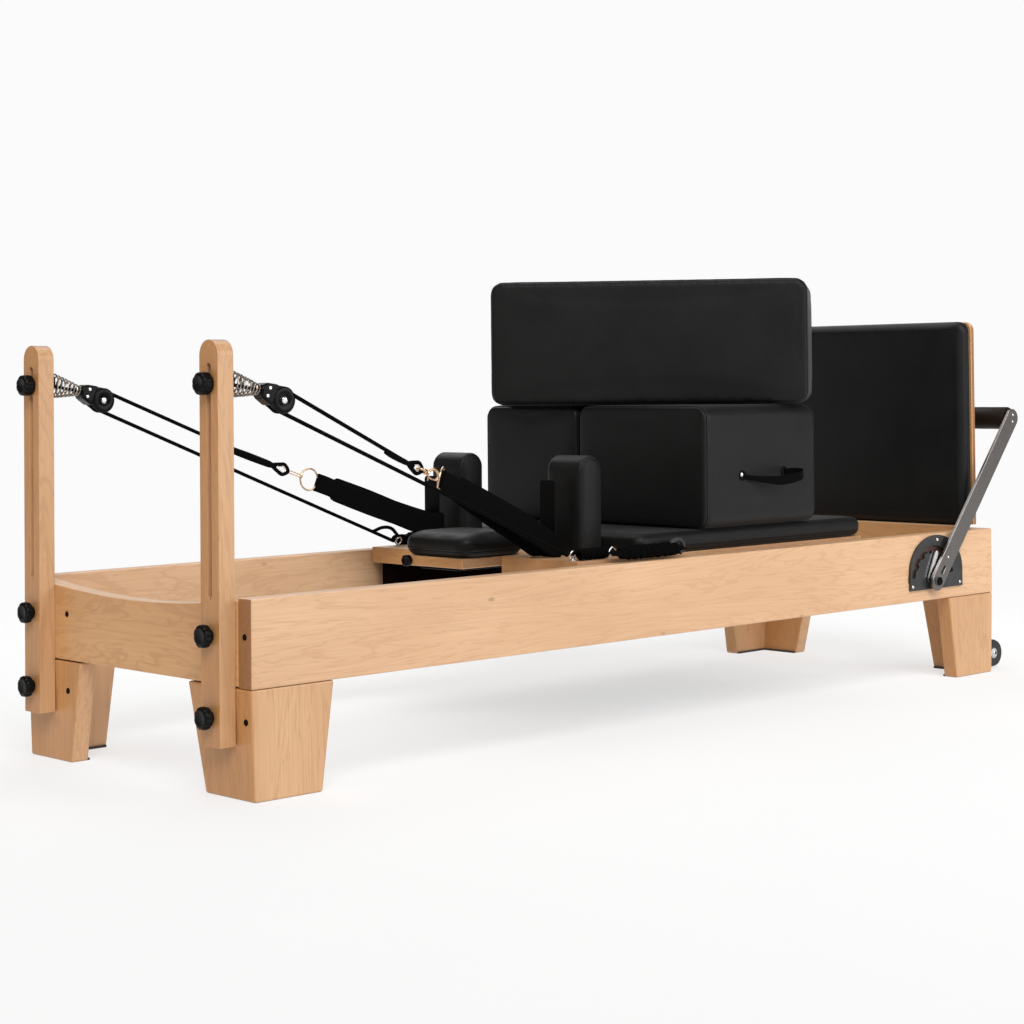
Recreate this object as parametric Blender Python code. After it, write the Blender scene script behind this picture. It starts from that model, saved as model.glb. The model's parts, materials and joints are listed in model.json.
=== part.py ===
"""Pilates reformer: a wooden bed frame with a sliding carriage, springs, ropes and pulleys.

X runs along the bed, from the head end (-X) with its two risers to the foot end (+X) with
its footbar. Y runs across it, and the user's right-hand side is -Y. Z is up, and the floor
is Z = 0. Lengths along X are measured from the middle of the bed. At the end everything
moves by BED_MIDDLE_X, because the footbar reaches out further than the knobs do, and the
origin belongs under the middle of the whole machine.
"""

import math

import bmesh
import bpy
from mathutils import Matrix, Vector

# ---- Driving dimensions, in metres ----
GAP = 0.0003                 # clearance between pieces that touch
BED_MIDDLE_X = -0.020        # where the bed's middle stands
LENGTH = 2.40                # bed frame, end to end
WIDTH = 0.78                 # bed frame, outside to outside
BOARD = 0.040                # thickness of the frame's boards
RAIL_BOTTOM = 0.208
RAIL_TOP = 0.375
WOOD_EDGE = 0.0025           # rounding on the wooden pieces

RISER_Y = 0.312              # middle of each riser
RISER_WIDTH = 0.058
RISER_THICKNESS = 0.036
RISER_BOTTOM = 0.100
RISER_TOP = 0.855
SLOT_WIDTH = 0.013
SLOT_BOTTOM = 0.373
SLOT_TOP = 0.811
KNOB_HEIGHTS = {"lower": 0.155, "middle": 0.306}
PULLEY_STUD_Z = 0.773        # where the pulley's stud is clamped in the slot

KNOB_RADIUS = 0.0217
KNOB_DEPTH = 0.018
KNOB_COLLAR = 0.006          # from the riser to the back of a riser knob's grip
KNOB_COLLAR_RADIUS = 0.009
STUD_RADIUS = 0.0045
STUD_HOLE_RADIUS = 0.0050
STUD_REACH = 0.011           # how far the pulley's stud goes into its knob

SHEAVE_X = -1.068
SHEAVE_Z = 0.740
SHEAVE_WIDTH = 0.014
SHEAVE_RADIUS = 0.0235
GROOVE_RADIUS = 0.0170
CHEEK_THICKNESS = 0.0035
CHEEK_RADIUS = 0.027
CHEEK_TAIL_RADIUS = 0.014
TAIL_LENGTH = 0.043          # sheave centre to the block's tail pin
TAIL_ANGLE = math.radians(22)
ROD_LENGTH = 0.0815          # from the riser's face to the block's bridge
ROD_DROOP = math.radians(10)
ROD_RADIUS = 0.0035

CORD_RADIUS = 0.004
CORD_END = Vector((-0.690, 0.2575, 0.604))      # where the cord meets the strap's hook
CORD_ANCHOR = Vector((-0.300, 0.312, 0.3945))   # eye on the carriage
STRAP_END = Vector((-0.255, 0.195, 0.416))     # strap hooked on its post
STRAP_WIDTH = 0.044
STRAP_THICKNESS = 0.014

TRACK_TOP = 0.262            # the ledge that the carriage rolls on
TRACK_WIDTH = 0.028
TRACK_SHEET = 0.003
TRACK_HEAD_X = -1.150
TRACK_FOOT_X = 0.860

PLATFORM_HEAD_X = -0.300
PLATFORM_FOOT_X = 0.700
PLATFORM_HALF_WIDTH = 0.343
PLATFORM_BOTTOM = 0.345
PLATFORM_TOP = 0.382
NOTCH_HALF_WIDTH = 0.106     # opening in the platform for the headrest
NOTCH_FOOT_X = -0.200
ROLLER_RADIUS = 0.0157
ROLLER_WIDTH = 0.014
ROLLER_Y = 0.334
ROLLER_BORE = 0.0043
AXLE_RADIUS = 0.0038
ROLLER_X = {"head": -0.240, "foot": 0.600}
BEARER_Y = (0.290, 0.318)    # the runners under the platform that hold the roller stubs
BEARER_SET_IN = 0.010

PAD_HEAD_X = -0.112
PAD_HALF_WIDTH = 0.352
PAD_TOP = 0.430

HEADREST_HALF_WIDTH = 0.096
HEADREST_HEAD_X = -0.410
HEADREST_FOOT_X = -0.205
HEADREST_BOARD = 0.022
HEADREST_PIVOT_X = -0.203
HEADREST_KNOB_Y = 0.080
HEADREST_KNOB_RADIUS = 0.013
HEADREST_CUSHION = (0.193, 0.214, 0.049)
HEADREST_CUSHION_X = -0.1125  # cushion centre from the hinge

SHOULDER_X = (-0.194, -0.123)
SHOULDER_Y = (0.141, 0.250)
SHOULDER_TOP = 0.606
POST_X = -0.240
POST_Y = 0.195
POST_WIDTH = 0.046
POST_THICKNESS = 0.006
POST_TOP = 0.552
POST_CORNER = 0.008

SPRING_Y = {"right": -0.11, "middle": 0.0, "left": 0.11}
SPRING_Z = 0.300
SPRING_RADIUS = 0.013
SPRING_FOOT_X = 0.884
SPRING_HEAD_X = 0.2003
SPRING_BAR_X = 0.900
HOOK_BEAM = 0.020            # thickness of the cross beam that the springs pull

STAND_X = (1.075, 1.1597)    # standing platform at the foot end
STAND_BOTTOM = 0.335
STAND_TOP = 0.3855

JUMPBOARD_HALF_WIDTH = 0.372
JUMPBOARD_TOP = 0.917
JUMPBOARD_PAD_X = 1.105
JUMPBOARD_PANEL_X = 1.144
JUMPBOARD_PANEL = 0.014
TONGUE_Y = 0.22
TONGUE_WIDTH = 0.070
TONGUE_BOTTOM = 0.345

FOOTBAR_PIVOT = Vector((0.927, 0.0, 0.257))
FOOTBAR_ANGLE = math.radians(49.6)
FOOTBAR_REACH = 0.533        # pivot to the bar's centre line
ARM_WIDTH = 0.048
ARM_THICKNESS = 0.008
ARM_Y = 0.409
BAR_RADIUS = 0.016
GRIP_RADIUS = 0.0295

GEAR_Y = (0.3903, 0.3958)
GEAR_X = (0.832, 1.057)
GEAR_Z = (0.237, 0.372)
GEAR_SLOT_RADII = (0.076, 0.090)
GEAR_NOTCHES = 6
BOSS_RADIUS = 0.0070
ARM_BORE_RADIUS = 0.0075
LOCK_LEVER_PIVOT = Vector((0.908, -0.4003, 0.263))
LOCK_LEVER_ANGLE = math.radians(66)

WHEEL_CENTRE = Vector((1.245, 0.355, 0.041))
WHEEL_RADIUS = 0.0355
WHEEL_WIDTH = 0.020

LOWER_BOX_X = (0.093, 0.498)
LOWER_BOX_RIGHT_Y = (-0.367, 0.043)
LOWER_BOX_LEFT_Y = (0.045, 0.369)
LOWER_BOX_TOP = 0.713
BOX_CORNER = 0.030           # rounding of a box's two big faces, seen from the front
BOX_EDGE = 0.010             # rounding where a big face meets the sides
UPPER_BOX_SIZE = (0.766, 0.340, 0.300)
UPPER_BOX_CENTRE = (0.324, 0.000)
UPPER_BOX_TURN = math.radians(-53)

SIDES = {"right": -1, "left": 1}

# ---- Materials: base colour, roughness, metallic ----
FINISHES = {
    "maple": ((0.72, 0.47, 0.26), 0.45, 0.0),
    "platform_maple": ((0.68, 0.43, 0.23), 0.50, 0.0),
    "black_leather": ((0.012, 0.012, 0.013), 0.50, 0.0),
    "black_plastic": ((0.010, 0.010, 0.011), 0.35, 0.0),
    "black_steel": ((0.014, 0.014, 0.015), 0.45, 0.8),
    "brushed_steel": ((0.36, 0.33, 0.31), 0.35, 1.0),
    "gunmetal": ((0.12, 0.12, 0.12), 0.40, 1.0),
    "aluminium": ((0.70, 0.70, 0.71), 0.35, 1.0),
    "spring_steel": ((0.55, 0.54, 0.52), 0.30, 1.0),
    "black_cord": ((0.010, 0.010, 0.010), 0.85, 0.0),
    "black_webbing": ((0.012, 0.012, 0.012), 0.80, 0.0),
    "black_foam": ((0.016, 0.013, 0.012), 0.75, 0.0),
    "black_rubber": ((0.012, 0.012, 0.012), 0.70, 0.0),
    "nylon": ((0.16, 0.16, 0.16), 0.50, 0.0),
}


def clear_scene():
    for item in list(bpy.data.objects):
        bpy.data.objects.remove(item, do_unlink=True)


def finish(name):
    """The named Principled material, made once."""
    found = bpy.data.materials.get(name)
    if found:
        return found
    colour, roughness, metallic = FINISHES[name]
    made = bpy.data.materials.new(name)
    made.use_nodes = True
    shader = made.node_tree.nodes["Principled BSDF"]
    shader.inputs["Base Color"].default_value = (*colour, 1.0)
    shader.inputs["Roughness"].default_value = roughness
    shader.inputs["Metallic"].default_value = metallic
    made.diffuse_color = (*colour, 1.0)
    return made


# ---- Building blocks ----
def to_object(name, bm, finish_name=None):
    """A closed bmesh as an object, with its faces pointing out."""
    bmesh.ops.recalc_face_normals(bm, faces=bm.faces)
    mesh = bpy.data.meshes.new(name)
    bm.to_mesh(mesh)
    bm.free()
    made = bpy.data.objects.new(name, mesh)
    bpy.context.scene.collection.objects.link(made)
    if finish_name:
        mesh.materials.append(finish(finish_name))
    return made


def plate(name, outline, thickness, normal, finish_name=None):
    """A flat plate: an outline in the plane across normal ("X", "Y" or "Z"), centred on it.

    The outline's points are (y, z), (x, z) or (x, y).
    """
    axis = "XYZ".index(normal)
    across = [i for i in range(3) if i != axis]
    bm = bmesh.new()
    low = []
    for point in outline:
        place = [0.0, 0.0, 0.0]
        place[across[0]], place[across[1]] = point
        place[axis] = -thickness / 2
        low.append(bm.verts.new(place))
    base = bm.faces.new(low)
    grown = bmesh.ops.extrude_face_region(bm, geom=[base])
    shift = Vector((0, 0, 0))
    shift[axis] = thickness
    moved = [item for item in grown["geom"] if isinstance(item, bmesh.types.BMVert)]
    bmesh.ops.translate(bm, vec=shift, verts=moved)
    return to_object(name, bm, finish_name)


def block(name, low, high, finish_name=None):
    """A box between two corners, with its origin at its centre."""
    size = [b - a for a, b in zip(low, high)]
    bm = bmesh.new()
    bmesh.ops.create_cube(bm, size=1.0)
    bmesh.ops.scale(bm, vec=size, verts=bm.verts)
    made = to_object(name, bm, finish_name)
    made.location = [(a + b) / 2 for a, b in zip(low, high)]
    return made


def turned(name, profile, axis, steps, finish_name=None, bored=False):
    """A profile of (radius, along) points turned about an axis.

    A solid piece's profile starts and ends on the axis; a bored one is a closed loop.
    """
    bm = bmesh.new()
    direction = Vector([float(letter == axis) for letter in "XYZ"])
    side = Vector((0, 0, 1)) if axis != "Z" else Vector((1, 0, 0))
    verts = [bm.verts.new(direction * along + side * radius) for radius, along in profile]
    edges = [bm.edges.new(pair) for pair in zip(verts, verts[1:])]
    if bored:
        edges.append(bm.edges.new((verts[-1], verts[0])))
    bmesh.ops.spin(
        bm, geom=verts + edges, cent=(0, 0, 0), axis=direction, angle=2 * math.pi, steps=steps
    )
    bmesh.ops.remove_doubles(bm, verts=bm.verts, dist=1e-6)
    made = to_object(name, bm, finish_name)
    smooth(made)
    return made


def cylinder(name, radius, low, high, axis, steps=12, finish_name=None):
    profile = [(0, low), (radius, low), (radius, high), (0, high)]
    return turned(name, profile, axis, steps, finish_name)


def smooth(item, angle=35):
    item.data.shade_smooth()
    item.data.set_sharp_from_angle(angle=math.radians(angle))


def rounded(item, width, segments=2, angle=30):
    """Rounds an object's edges with a Bevel modifier."""
    modifier = item.modifiers.new("rounded", "BEVEL")
    modifier.width = width
    modifier.segments = segments
    modifier.limit_method = "ANGLE"
    modifier.angle_limit = math.radians(angle)
    modifier.use_clamp_overlap = True
    return item


def combine(item, tool, operation):
    """Joins a tool to an object, or cuts it away. The tool itself isn't shown."""
    tool.hide_render = True
    tool.display_type = "WIRE"
    modifier = item.modifiers.new(tool.name, "BOOLEAN")
    modifier.operation = operation
    modifier.solver = "EXACT"
    modifier.object = tool
    return item


def join(item, tool):
    return combine(item, tool, "UNION")


def cut(item, tool):
    return combine(item, tool, "DIFFERENCE")


def arc(centre, radius, start, end, steps):
    """Points on an arc, ends included, with angles in degrees."""
    points = []
    for i in range(steps + 1):
        angle = math.radians(start + (end - start) * i / steps)
        points.append((centre[0] + radius * math.cos(angle), centre[1] + radius * math.sin(angle)))
    return points


def rounded_rectangle(low, high, radius, steps=4):
    """An outline between two corners, with rounded corners."""
    points = []
    corners = [
        (high[0] - radius, high[1] - radius, 0),
        (low[0] + radius, high[1] - radius, 90),
        (low[0] + radius, low[1] + radius, 180),
        (high[0] - radius, low[1] + radius, 270),
    ]
    for x, y, start in corners:
        points += arc((x, y), radius, start, start + 90, steps)
    return points


def stadium(length, near_radius, far_radius, steps=8):
    """An outline round two circles, at 0 and at length along the first axis."""
    spread = math.degrees(math.acos((near_radius - far_radius) / length))
    points = arc((length, 0), far_radius, -spread, spread, steps)
    return points + arc((0, 0), near_radius, spread, 360 - spread, steps)


def tombstone(half_width, low, high, steps=8):
    """An outline with a square foot and a round top."""
    points = [(-half_width, low), (half_width, low)]
    return points + arc((0, high - half_width), half_width, 0, 180, steps)


def sweep(name, path, ring_at, finish_name):
    """A closed tube through path. ring_at(i, forward) gives the offsets round point i."""
    bm = bmesh.new()
    rings = []
    for i, point in enumerate(path):
        before = path[max(i - 1, 0)]
        after = path[min(i + 1, len(path) - 1)]
        forward = (after - before).normalized()
        rings.append([bm.verts.new(point + offset) for offset in ring_at(i, forward)])
    for ring, following in zip(rings, rings[1:]):
        for k in range(len(ring)):
            n = (k + 1) % len(ring)
            bm.faces.new((ring[k], ring[n], following[n], following[k]))
    bm.faces.new(rings[0])
    bm.faces.new(rings[-1])
    return to_object(name, bm, finish_name)


def pivot(name, location, rotation=(0, 0, 0)):
    """An empty that stands on a joint's axis."""
    made = bpy.data.objects.new(name, None)
    bpy.context.scene.collection.objects.link(made)
    made.location = location
    made.rotation_euler = rotation
    return made


def hang(item, parent):
    """Parents an object that is modelled in its parent's own coordinates."""
    item.parent = parent
    return item


# ---- Bed frame ----
def side_rail(side, sign):
    inner = sign * (WIDTH / 2 - BOARD)
    outer = sign * WIDTH / 2
    rail = block(
        f"side_rail_{side}",
        (-LENGTH / 2, min(inner, outer), RAIL_BOTTOM),
        (LENGTH / 2, max(inner, outer), RAIL_TOP),
        "maple",
    )
    rounded(rail, WOOD_EDGE)


def head_board():
    """The board between the rails at the head end, with a hollow curve along its top."""
    half = WIDTH / 2 - BOARD - GAP
    bottom, end_top, drop = 0.210, 0.370, 0.022
    radius = (half**2 + drop**2) / (2 * drop)
    steps = 12
    outline = [(-half, bottom), (half, bottom)]
    for i in range(steps + 1):
        y = half - 2 * half * i / steps
        sag = math.sqrt(radius**2 - y**2) - (radius - drop)
        outline.append((y, end_top - sag))
    board = plate("head_board", outline, BOARD, "X", "maple")
    board.location = (-LENGTH / 2 + BOARD / 2, 0, 0)
    rounded(board, WOOD_EDGE)


def foot_board():
    half = WIDTH / 2 - BOARD - GAP
    board = block(
        "foot_board",
        (LENGTH / 2 - BOARD, -half, RAIL_BOTTOM + 0.002),
        (LENGTH / 2, half, RAIL_TOP),
        "maple",
    )
    rounded(board, WOOD_EDGE)


def leg(end, end_sign, side, side_sign):
    """A corner leg of two tapered boards glued into an L."""
    side_board = {"top": 0.194, "bottom": 0.165}
    end_board = {"top": 0.202, "bottom": 0.156}
    inset = {"top": 0.0, "bottom": 0.007}
    heights = {"bottom": 0.0, "top": RAIL_BOTTOM - GAP}
    bm = bmesh.new()
    rings = []
    for level in ("bottom", "top"):
        near = inset[level]
        corner = [
            (near, 0),
            (side_board[level], 0),
            (side_board[level], BOARD),
            (near + BOARD, BOARD),
            (near + BOARD, end_board[level]),
            (near, end_board[level]),
        ]
        ring = []
        for x, y in corner:
            place = (
                end_sign * (LENGTH / 2 - x),
                side_sign * (WIDTH / 2 - y),
                heights[level],
            )
            ring.append(bm.verts.new(place))
        rings.append(ring)
    for k in range(6):
        n = (k + 1) % 6
        bm.faces.new((rings[0][k], rings[0][n], rings[1][n], rings[1][k]))
    bm.faces.new(rings[0])
    bm.faces.new(rings[1])
    made = to_object(f"leg_{end}_{side}", bm, "maple")
    rounded(made, 0.004)


def track(side, sign):
    """An aluminium angle on the rail's inner face, whose ledge carries the rollers."""
    wall = WIDTH / 2 - BOARD - GAP
    outline = [
        (sign * wall, TRACK_TOP - 0.022),
        (sign * wall, TRACK_TOP + 0.020),
        (sign * (wall - TRACK_SHEET), TRACK_TOP + 0.020),
        (sign * (wall - TRACK_SHEET), TRACK_TOP),
        (sign * (wall - TRACK_WIDTH), TRACK_TOP),
        (sign * (wall - TRACK_WIDTH), TRACK_TOP - TRACK_SHEET),
        (sign * (wall - TRACK_SHEET), TRACK_TOP - TRACK_SHEET),
        (sign * (wall - TRACK_SHEET), TRACK_TOP - 0.022),
    ]
    length = TRACK_FOOT_X - TRACK_HEAD_X
    made = plate(f"track_{side}", outline, length, "X", "aluminium")
    made.location = ((TRACK_FOOT_X + TRACK_HEAD_X) / 2, 0, 0)


def spring_bar():
    """The bar that the springs hook onto, with a notch for each hook."""
    half = WIDTH / 2 - BOARD - GAP
    low, high, notch, depth = SPRING_Z - 0.020, SPRING_Z + 0.024, 0.006, 0.030
    outline = [(-half, low), (half, low), (half, high)]
    for y in sorted(SPRING_Y.values(), reverse=True):
        outline += [(y + notch, high), (y + notch, high - depth)]
        outline += [(y - notch, high - depth), (y - notch, high)]
    outline.append((-half, high))
    bar = plate("spring_bar", outline, 0.012, "X", "gunmetal")
    bar.location = (SPRING_BAR_X, 0, 0)


def standing_platform():
    """The step at the foot end, slotted for the jumpboard's tongues."""
    half = WIDTH / 2 - BOARD - GAP
    step = block(
        "standing_platform",
        (STAND_X[0], -half, STAND_BOTTOM),
        (STAND_X[1], half, STAND_TOP),
        "maple",
    )
    for side, sign in SIDES.items():
        middle = sign * TONGUE_Y
        slot = block(
            f"tongue_slot_{side}",
            (JUMPBOARD_PANEL_X - GAP, middle - TONGUE_WIDTH / 2 - 0.001, STAND_BOTTOM - 0.01),
            (
                JUMPBOARD_PANEL_X + JUMPBOARD_PANEL + 3 * GAP,
                middle + TONGUE_WIDTH / 2 + 0.001,
                STAND_TOP + 0.01,
            ),
        )
        cut(step, slot)
    rounded(step, 0.0015, segments=1)


# ---- Risers, knobs and pulleys ----
def riser(side, sign):
    """An upright with a height slot, bolted to the head end by two knobs."""
    outline = tombstone(RISER_WIDTH / 2, RISER_BOTTOM, RISER_TOP, steps=12)
    post = plate(f"riser_{side}", outline, RISER_THICKNESS, "X", "maple")
    post.location = (-LENGTH / 2 - RISER_THICKNESS / 2 - GAP, sign * RISER_Y, 0)
    half = SLOT_WIDTH / 2
    slot_outline = arc((0, SLOT_TOP - half), half, 0, 180, 6)
    slot_outline += arc((0, SLOT_BOTTOM + half), half, 180, 360, 6)
    slot = plate(f"height_slot_{side}", slot_outline, 2 * RISER_THICKNESS, "X")
    slot.location = post.location
    cut(post, slot)
    for level, height in KNOB_HEIGHTS.items():
        hole = cylinder(
            f"knob_hole_{level}_{side}", STUD_HOLE_RADIUS, -RISER_THICKNESS, RISER_THICKNESS, "X"
        )
        hole.location = (post.location.x, post.location.y, height)
        cut(post, hole)
    rounded(post, WOOD_EDGE)


def knob_grip(name, depth, lobes=8):
    """A fluted round grip whose outside faces -X and whose back is at X = 0."""
    points = []
    around = 3 * lobes
    for i in range(around):
        angle = 2 * math.pi * i / around
        radius = KNOB_RADIUS - 0.0006 + 0.0006 * math.cos(lobes * angle)
        points.append((radius * math.cos(angle), radius * math.sin(angle)))
    grip = plate(name, points, depth, "X", "black_plastic")
    grip.data.transform(Matrix.Translation((-depth / 2, 0, 0)))
    return grip


def riser_knob(side, sign, level):
    """A hand knob whose stud passes through the riser."""
    face = -LENGTH / 2 - RISER_THICKNESS - 2 * GAP
    grip = knob_grip(f"riser_knob_{level}_{side}", KNOB_DEPTH)
    grip.location = (face - KNOB_COLLAR, sign * RISER_Y, KNOB_HEIGHTS[level])
    rounded(grip, 0.003, angle=50)
    stud_end = KNOB_COLLAR + RISER_THICKNESS - 0.002
    shank = [
        (0, -0.010),
        (KNOB_COLLAR_RADIUS, -0.010),
        (KNOB_COLLAR_RADIUS, KNOB_COLLAR),
        (STUD_RADIUS, KNOB_COLLAR),
        (STUD_RADIUS, stud_end),
        (0, stud_end),
    ]
    stud = turned(f"knob_stud_{level}_{side}", shank, "X", 12)
    stud.location = grip.location
    join(grip, stud)


def pulley_knob(side, sign):
    """The knob that clamps the pulley's stud, with a blind hole for the stud."""
    face = -LENGTH / 2 - RISER_THICKNESS - 2 * GAP
    grip = knob_grip(f"pulley_knob_{side}", KNOB_DEPTH + KNOB_COLLAR)
    grip.location = (face, sign * RISER_Y, PULLEY_STUD_Z)
    rounded(grip, 0.003, angle=50)
    depth = STUD_REACH + 0.003
    hole = cylinder(f"pulley_knob_hole_{side}", STUD_HOLE_RADIUS, -depth, depth, "X")
    hole.location = grip.location
    cut(grip, hole)


def pulley_carrier(side, sign):
    """The stud, washer and swivel rod that hold a pulley block in the riser's slot."""
    washer_back = -LENGTH / 2 + GAP / 3
    stud_end = -RISER_THICKNESS - STUD_REACH
    profile = [
        (0, stud_end),
        (STUD_RADIUS, stud_end),
        (STUD_RADIUS, 0),
        (0.018, 0),
        (0.018, 0.005),
        (0.008, 0.008),
        (0, 0.008),
    ]
    body = turned(f"pulley_carrier_{side}", profile, "X", 16, "black_steel")
    body.location = (washer_back, sign * RISER_Y, PULLEY_STUD_Z)
    rod = cylinder(f"swivel_rod_{side}", ROD_RADIUS, 0.0, ROD_LENGTH, "X", steps=8)
    rod.location = (washer_back + 0.004, sign * RISER_Y, PULLEY_STUD_Z)
    rod.rotation_euler = (0, ROD_DROOP, 0)
    join(body, rod)


def pulley_block(side, sign):
    """Two cheeks, joined by the sheave's pin and by a bridge at the tail."""
    outline = stadium(TAIL_LENGTH, CHEEK_RADIUS, CHEEK_TAIL_RADIUS, steps=8)
    spread = SHEAVE_WIDTH / 2 + 0.001 + CHEEK_THICKNESS / 2
    frame = pivot(
        f"pulley_{side}",
        (SHEAVE_X, sign * RISER_Y, SHEAVE_Z),
        (0, math.pi + TAIL_ANGLE, 0),
    )
    near = plate(f"pulley_block_{side}", outline, CHEEK_THICKNESS, "Y", "black_plastic")
    near.location = (0, -spread, 0)
    far = plate(f"far_cheek_{side}", outline, CHEEK_THICKNESS, "Y")
    far.location = (0, spread, 0)
    pin = cylinder(f"sheave_pin_{side}", 0.0040, -spread - 0.003, spread + 0.003, "Y")
    bridge_outline = rounded_rectangle((0.031, -0.0085), (0.050, 0.0085), 0.003, steps=2)
    bridge = plate(f"tail_bridge_{side}", bridge_outline, 2 * spread, "Y")
    for item in (near, far, pin, bridge):
        hang(item, frame)
    for tool in (far, pin, bridge):
        join(near, tool)


def pulley_sheave(side, sign):
    half = SHEAVE_WIDTH / 2
    profile = [
        (0.0043, -half),
        (SHEAVE_RADIUS, -half),
        (SHEAVE_RADIUS, -half + 0.0012),
        (GROOVE_RADIUS, -0.0050),
        (GROOVE_RADIUS, 0.0050),
        (SHEAVE_RADIUS, half - 0.0012),
        (SHEAVE_RADIUS, half),
        (0.0043, half),
    ]
    sheave = turned(f"pulley_sheave_{side}", profile, "Y", 20, "nylon", bored=True)
    sheave.location = (SHEAVE_X, sign * RISER_Y, SHEAVE_Z)


# ---- Ropes and straps ----
def rope(side, sign):
    """A cord from the carriage's eye, round the sheave and back to the strap's hook."""
    wrap = GROOVE_RADIUS + CORD_RADIUS + GAP
    centre = Vector((SHEAVE_X, sign * RISER_Y, SHEAVE_Z))
    anchor = Vector((CORD_ANCHOR.x, sign * CORD_ANCHOR.y, CORD_ANCHOR.z))
    end = Vector((CORD_END.x, sign * CORD_END.y, CORD_END.z))

    def touch(point, turn):
        """The angle, in the XZ plane, where a straight run to point leaves the sheave."""
        away = math.atan2(point.z - centre.z, point.x - centre.x)
        reach = math.hypot(point.x - centre.x, point.z - centre.z)
        return away + turn * math.acos(wrap / reach)

    start_angle = touch(anchor, -1)
    end_angle = touch(end, 1)
    steps = 12
    path = [anchor]
    turn = start_angle - end_angle + 2 * math.pi
    for i in range(steps + 1):
        angle = start_angle - turn * i / steps
        path.append(centre + Vector((wrap * math.cos(angle), 0, wrap * math.sin(angle))))
    path.append(end)

    def ring_at(_, forward):
        across = Vector((0, 1, 0))
        up = forward.cross(across).normalized()
        angles = [2 * math.pi * k / 8 for k in range(8)]
        return [CORD_RADIUS * (math.cos(a) * across + math.sin(a) * up) for a in angles]

    made = sweep(f"rope_{side}", path, ring_at, "black_cord")
    smooth(made, 60)


def strap(side, sign):
    """The snap hook and the padded strap, from the rope's end to the strap post."""
    hook = Vector((CORD_END.x + 0.004, sign * CORD_END.y, CORD_END.z - 0.002))
    far = Vector((STRAP_END.x, sign * STRAP_END.y, STRAP_END.z))
    shares = [0.0, 0.03, 0.17, 0.21, 0.60, 0.97, 1.0]
    half_widths = [0.006, 0.010, 0.010, 0.5 * STRAP_WIDTH, 0.5 * STRAP_WIDTH] + [
        0.5 * STRAP_WIDTH,
        0.4 * STRAP_WIDTH,
    ]
    half_thicknesses = [0.004, 0.005, 0.005] + [0.5 * STRAP_THICKNESS] * 3 + [0.005]
    path = [hook.lerp(far, share) for share in shares]

    def ring_at(i, forward):
        across = Vector((0, 0, 1)).cross(forward).normalized()
        up = forward.cross(across).normalized()
        wide, thick = half_widths[i], half_thicknesses[i]
        corners = [(1, 0.4), (0.8, 1), (-0.8, 1), (-1, 0.4), (-1, -0.4), (-0.8, -1)]
        corners += [(0.8, -1), (1, -0.4)]
        return [up * (wide * u) + across * (thick * v) for u, v in corners]

    sweep(f"strap_{side}", path, ring_at, "black_webbing")


# ---- Carriage ----
def carriage_platform():
    """The moving board with its bearers and roller stubs, open at the head for the headrest."""
    outline = [
        (PLATFORM_HEAD_X, -PLATFORM_HALF_WIDTH),
        (PLATFORM_FOOT_X, -PLATFORM_HALF_WIDTH),
        (PLATFORM_FOOT_X, PLATFORM_HALF_WIDTH),
        (PLATFORM_HEAD_X, PLATFORM_HALF_WIDTH),
        (PLATFORM_HEAD_X, NOTCH_HALF_WIDTH),
        (NOTCH_FOOT_X, NOTCH_HALF_WIDTH),
        (NOTCH_FOOT_X, -NOTCH_HALF_WIDTH),
        (PLATFORM_HEAD_X, -NOTCH_HALF_WIDTH),
    ]
    board = plate(
        "carriage_platform", outline, PLATFORM_TOP - PLATFORM_BOTTOM, "Z", "platform_maple"
    )
    board.location = (0, 0, (PLATFORM_TOP + PLATFORM_BOTTOM) / 2)
    into = PLATFORM_BOTTOM + 0.004
    for side, sign in SIDES.items():
        low_y, high_y = sorted((sign * BEARER_Y[0], sign * BEARER_Y[1]))
        bearer = block(
            f"bearer_{side}",
            (PLATFORM_HEAD_X + BEARER_SET_IN, low_y, TRACK_TOP - 0.004),
            (PLATFORM_FOOT_X - BEARER_SET_IN, high_y, into),
        )
        stub_start = BEARER_Y[1] - 0.008
        stub_end = ROLLER_Y + ROLLER_WIDTH / 2 + 0.001
        for end, x in ROLLER_X.items():
            low, high = sorted((sign * stub_start, sign * stub_end))
            stub = cylinder(f"stub_{end}_{side}", AXLE_RADIUS, low, high, "Y")
            stub.location = (x, 0, TRACK_TOP + GAP + ROLLER_RADIUS)
            join(bearer, stub)
        join(board, bearer)
    beam_half = BEARER_Y[0] + 0.005
    hook_beam = block(
        "hook_beam",
        (SPRING_HEAD_X - HOOK_BEAM, -beam_half, SPRING_Z - SPRING_RADIUS),
        (SPRING_HEAD_X - GAP, beam_half, into),
    )
    join(board, hook_beam)


def carriage_roller(end, x, side, sign):
    half = ROLLER_WIDTH / 2
    profile = [
        (ROLLER_BORE, -half),
        (ROLLER_RADIUS, -half),
        (ROLLER_RADIUS, half),
        (ROLLER_BORE, half),
    ]
    wheel = turned(f"carriage_roller_{end}_{side}", profile, "Y", 20, "nylon", bored=True)
    wheel.location = (x, sign * ROLLER_Y, TRACK_TOP + GAP + ROLLER_RADIUS)


def cushion(name, low, high, corner, edge, steps=4):
    """An upholstered slab lying flat, with rounded corners and edges."""
    middle = [(a + b) / 2 for a, b in zip(low, high)]
    outline = rounded_rectangle(
        (low[0] - middle[0], low[1] - middle[1]),
        (high[0] - middle[0], high[1] - middle[1]),
        corner,
        steps,
    )
    made = plate(name, outline, high[2] - low[2], "Z", "black_leather")
    made.location = middle
    smooth(made)
    rounded(made, edge, segments=2, angle=60)


def carriage_pad():
    cushion(
        "carriage_pad",
        (PAD_HEAD_X, -PAD_HALF_WIDTH, PLATFORM_TOP + GAP),
        (PLATFORM_FOOT_X, PAD_HALF_WIDTH, PAD_TOP),
        corner=0.050,
        edge=0.012,
        steps=6,
    )


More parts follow.
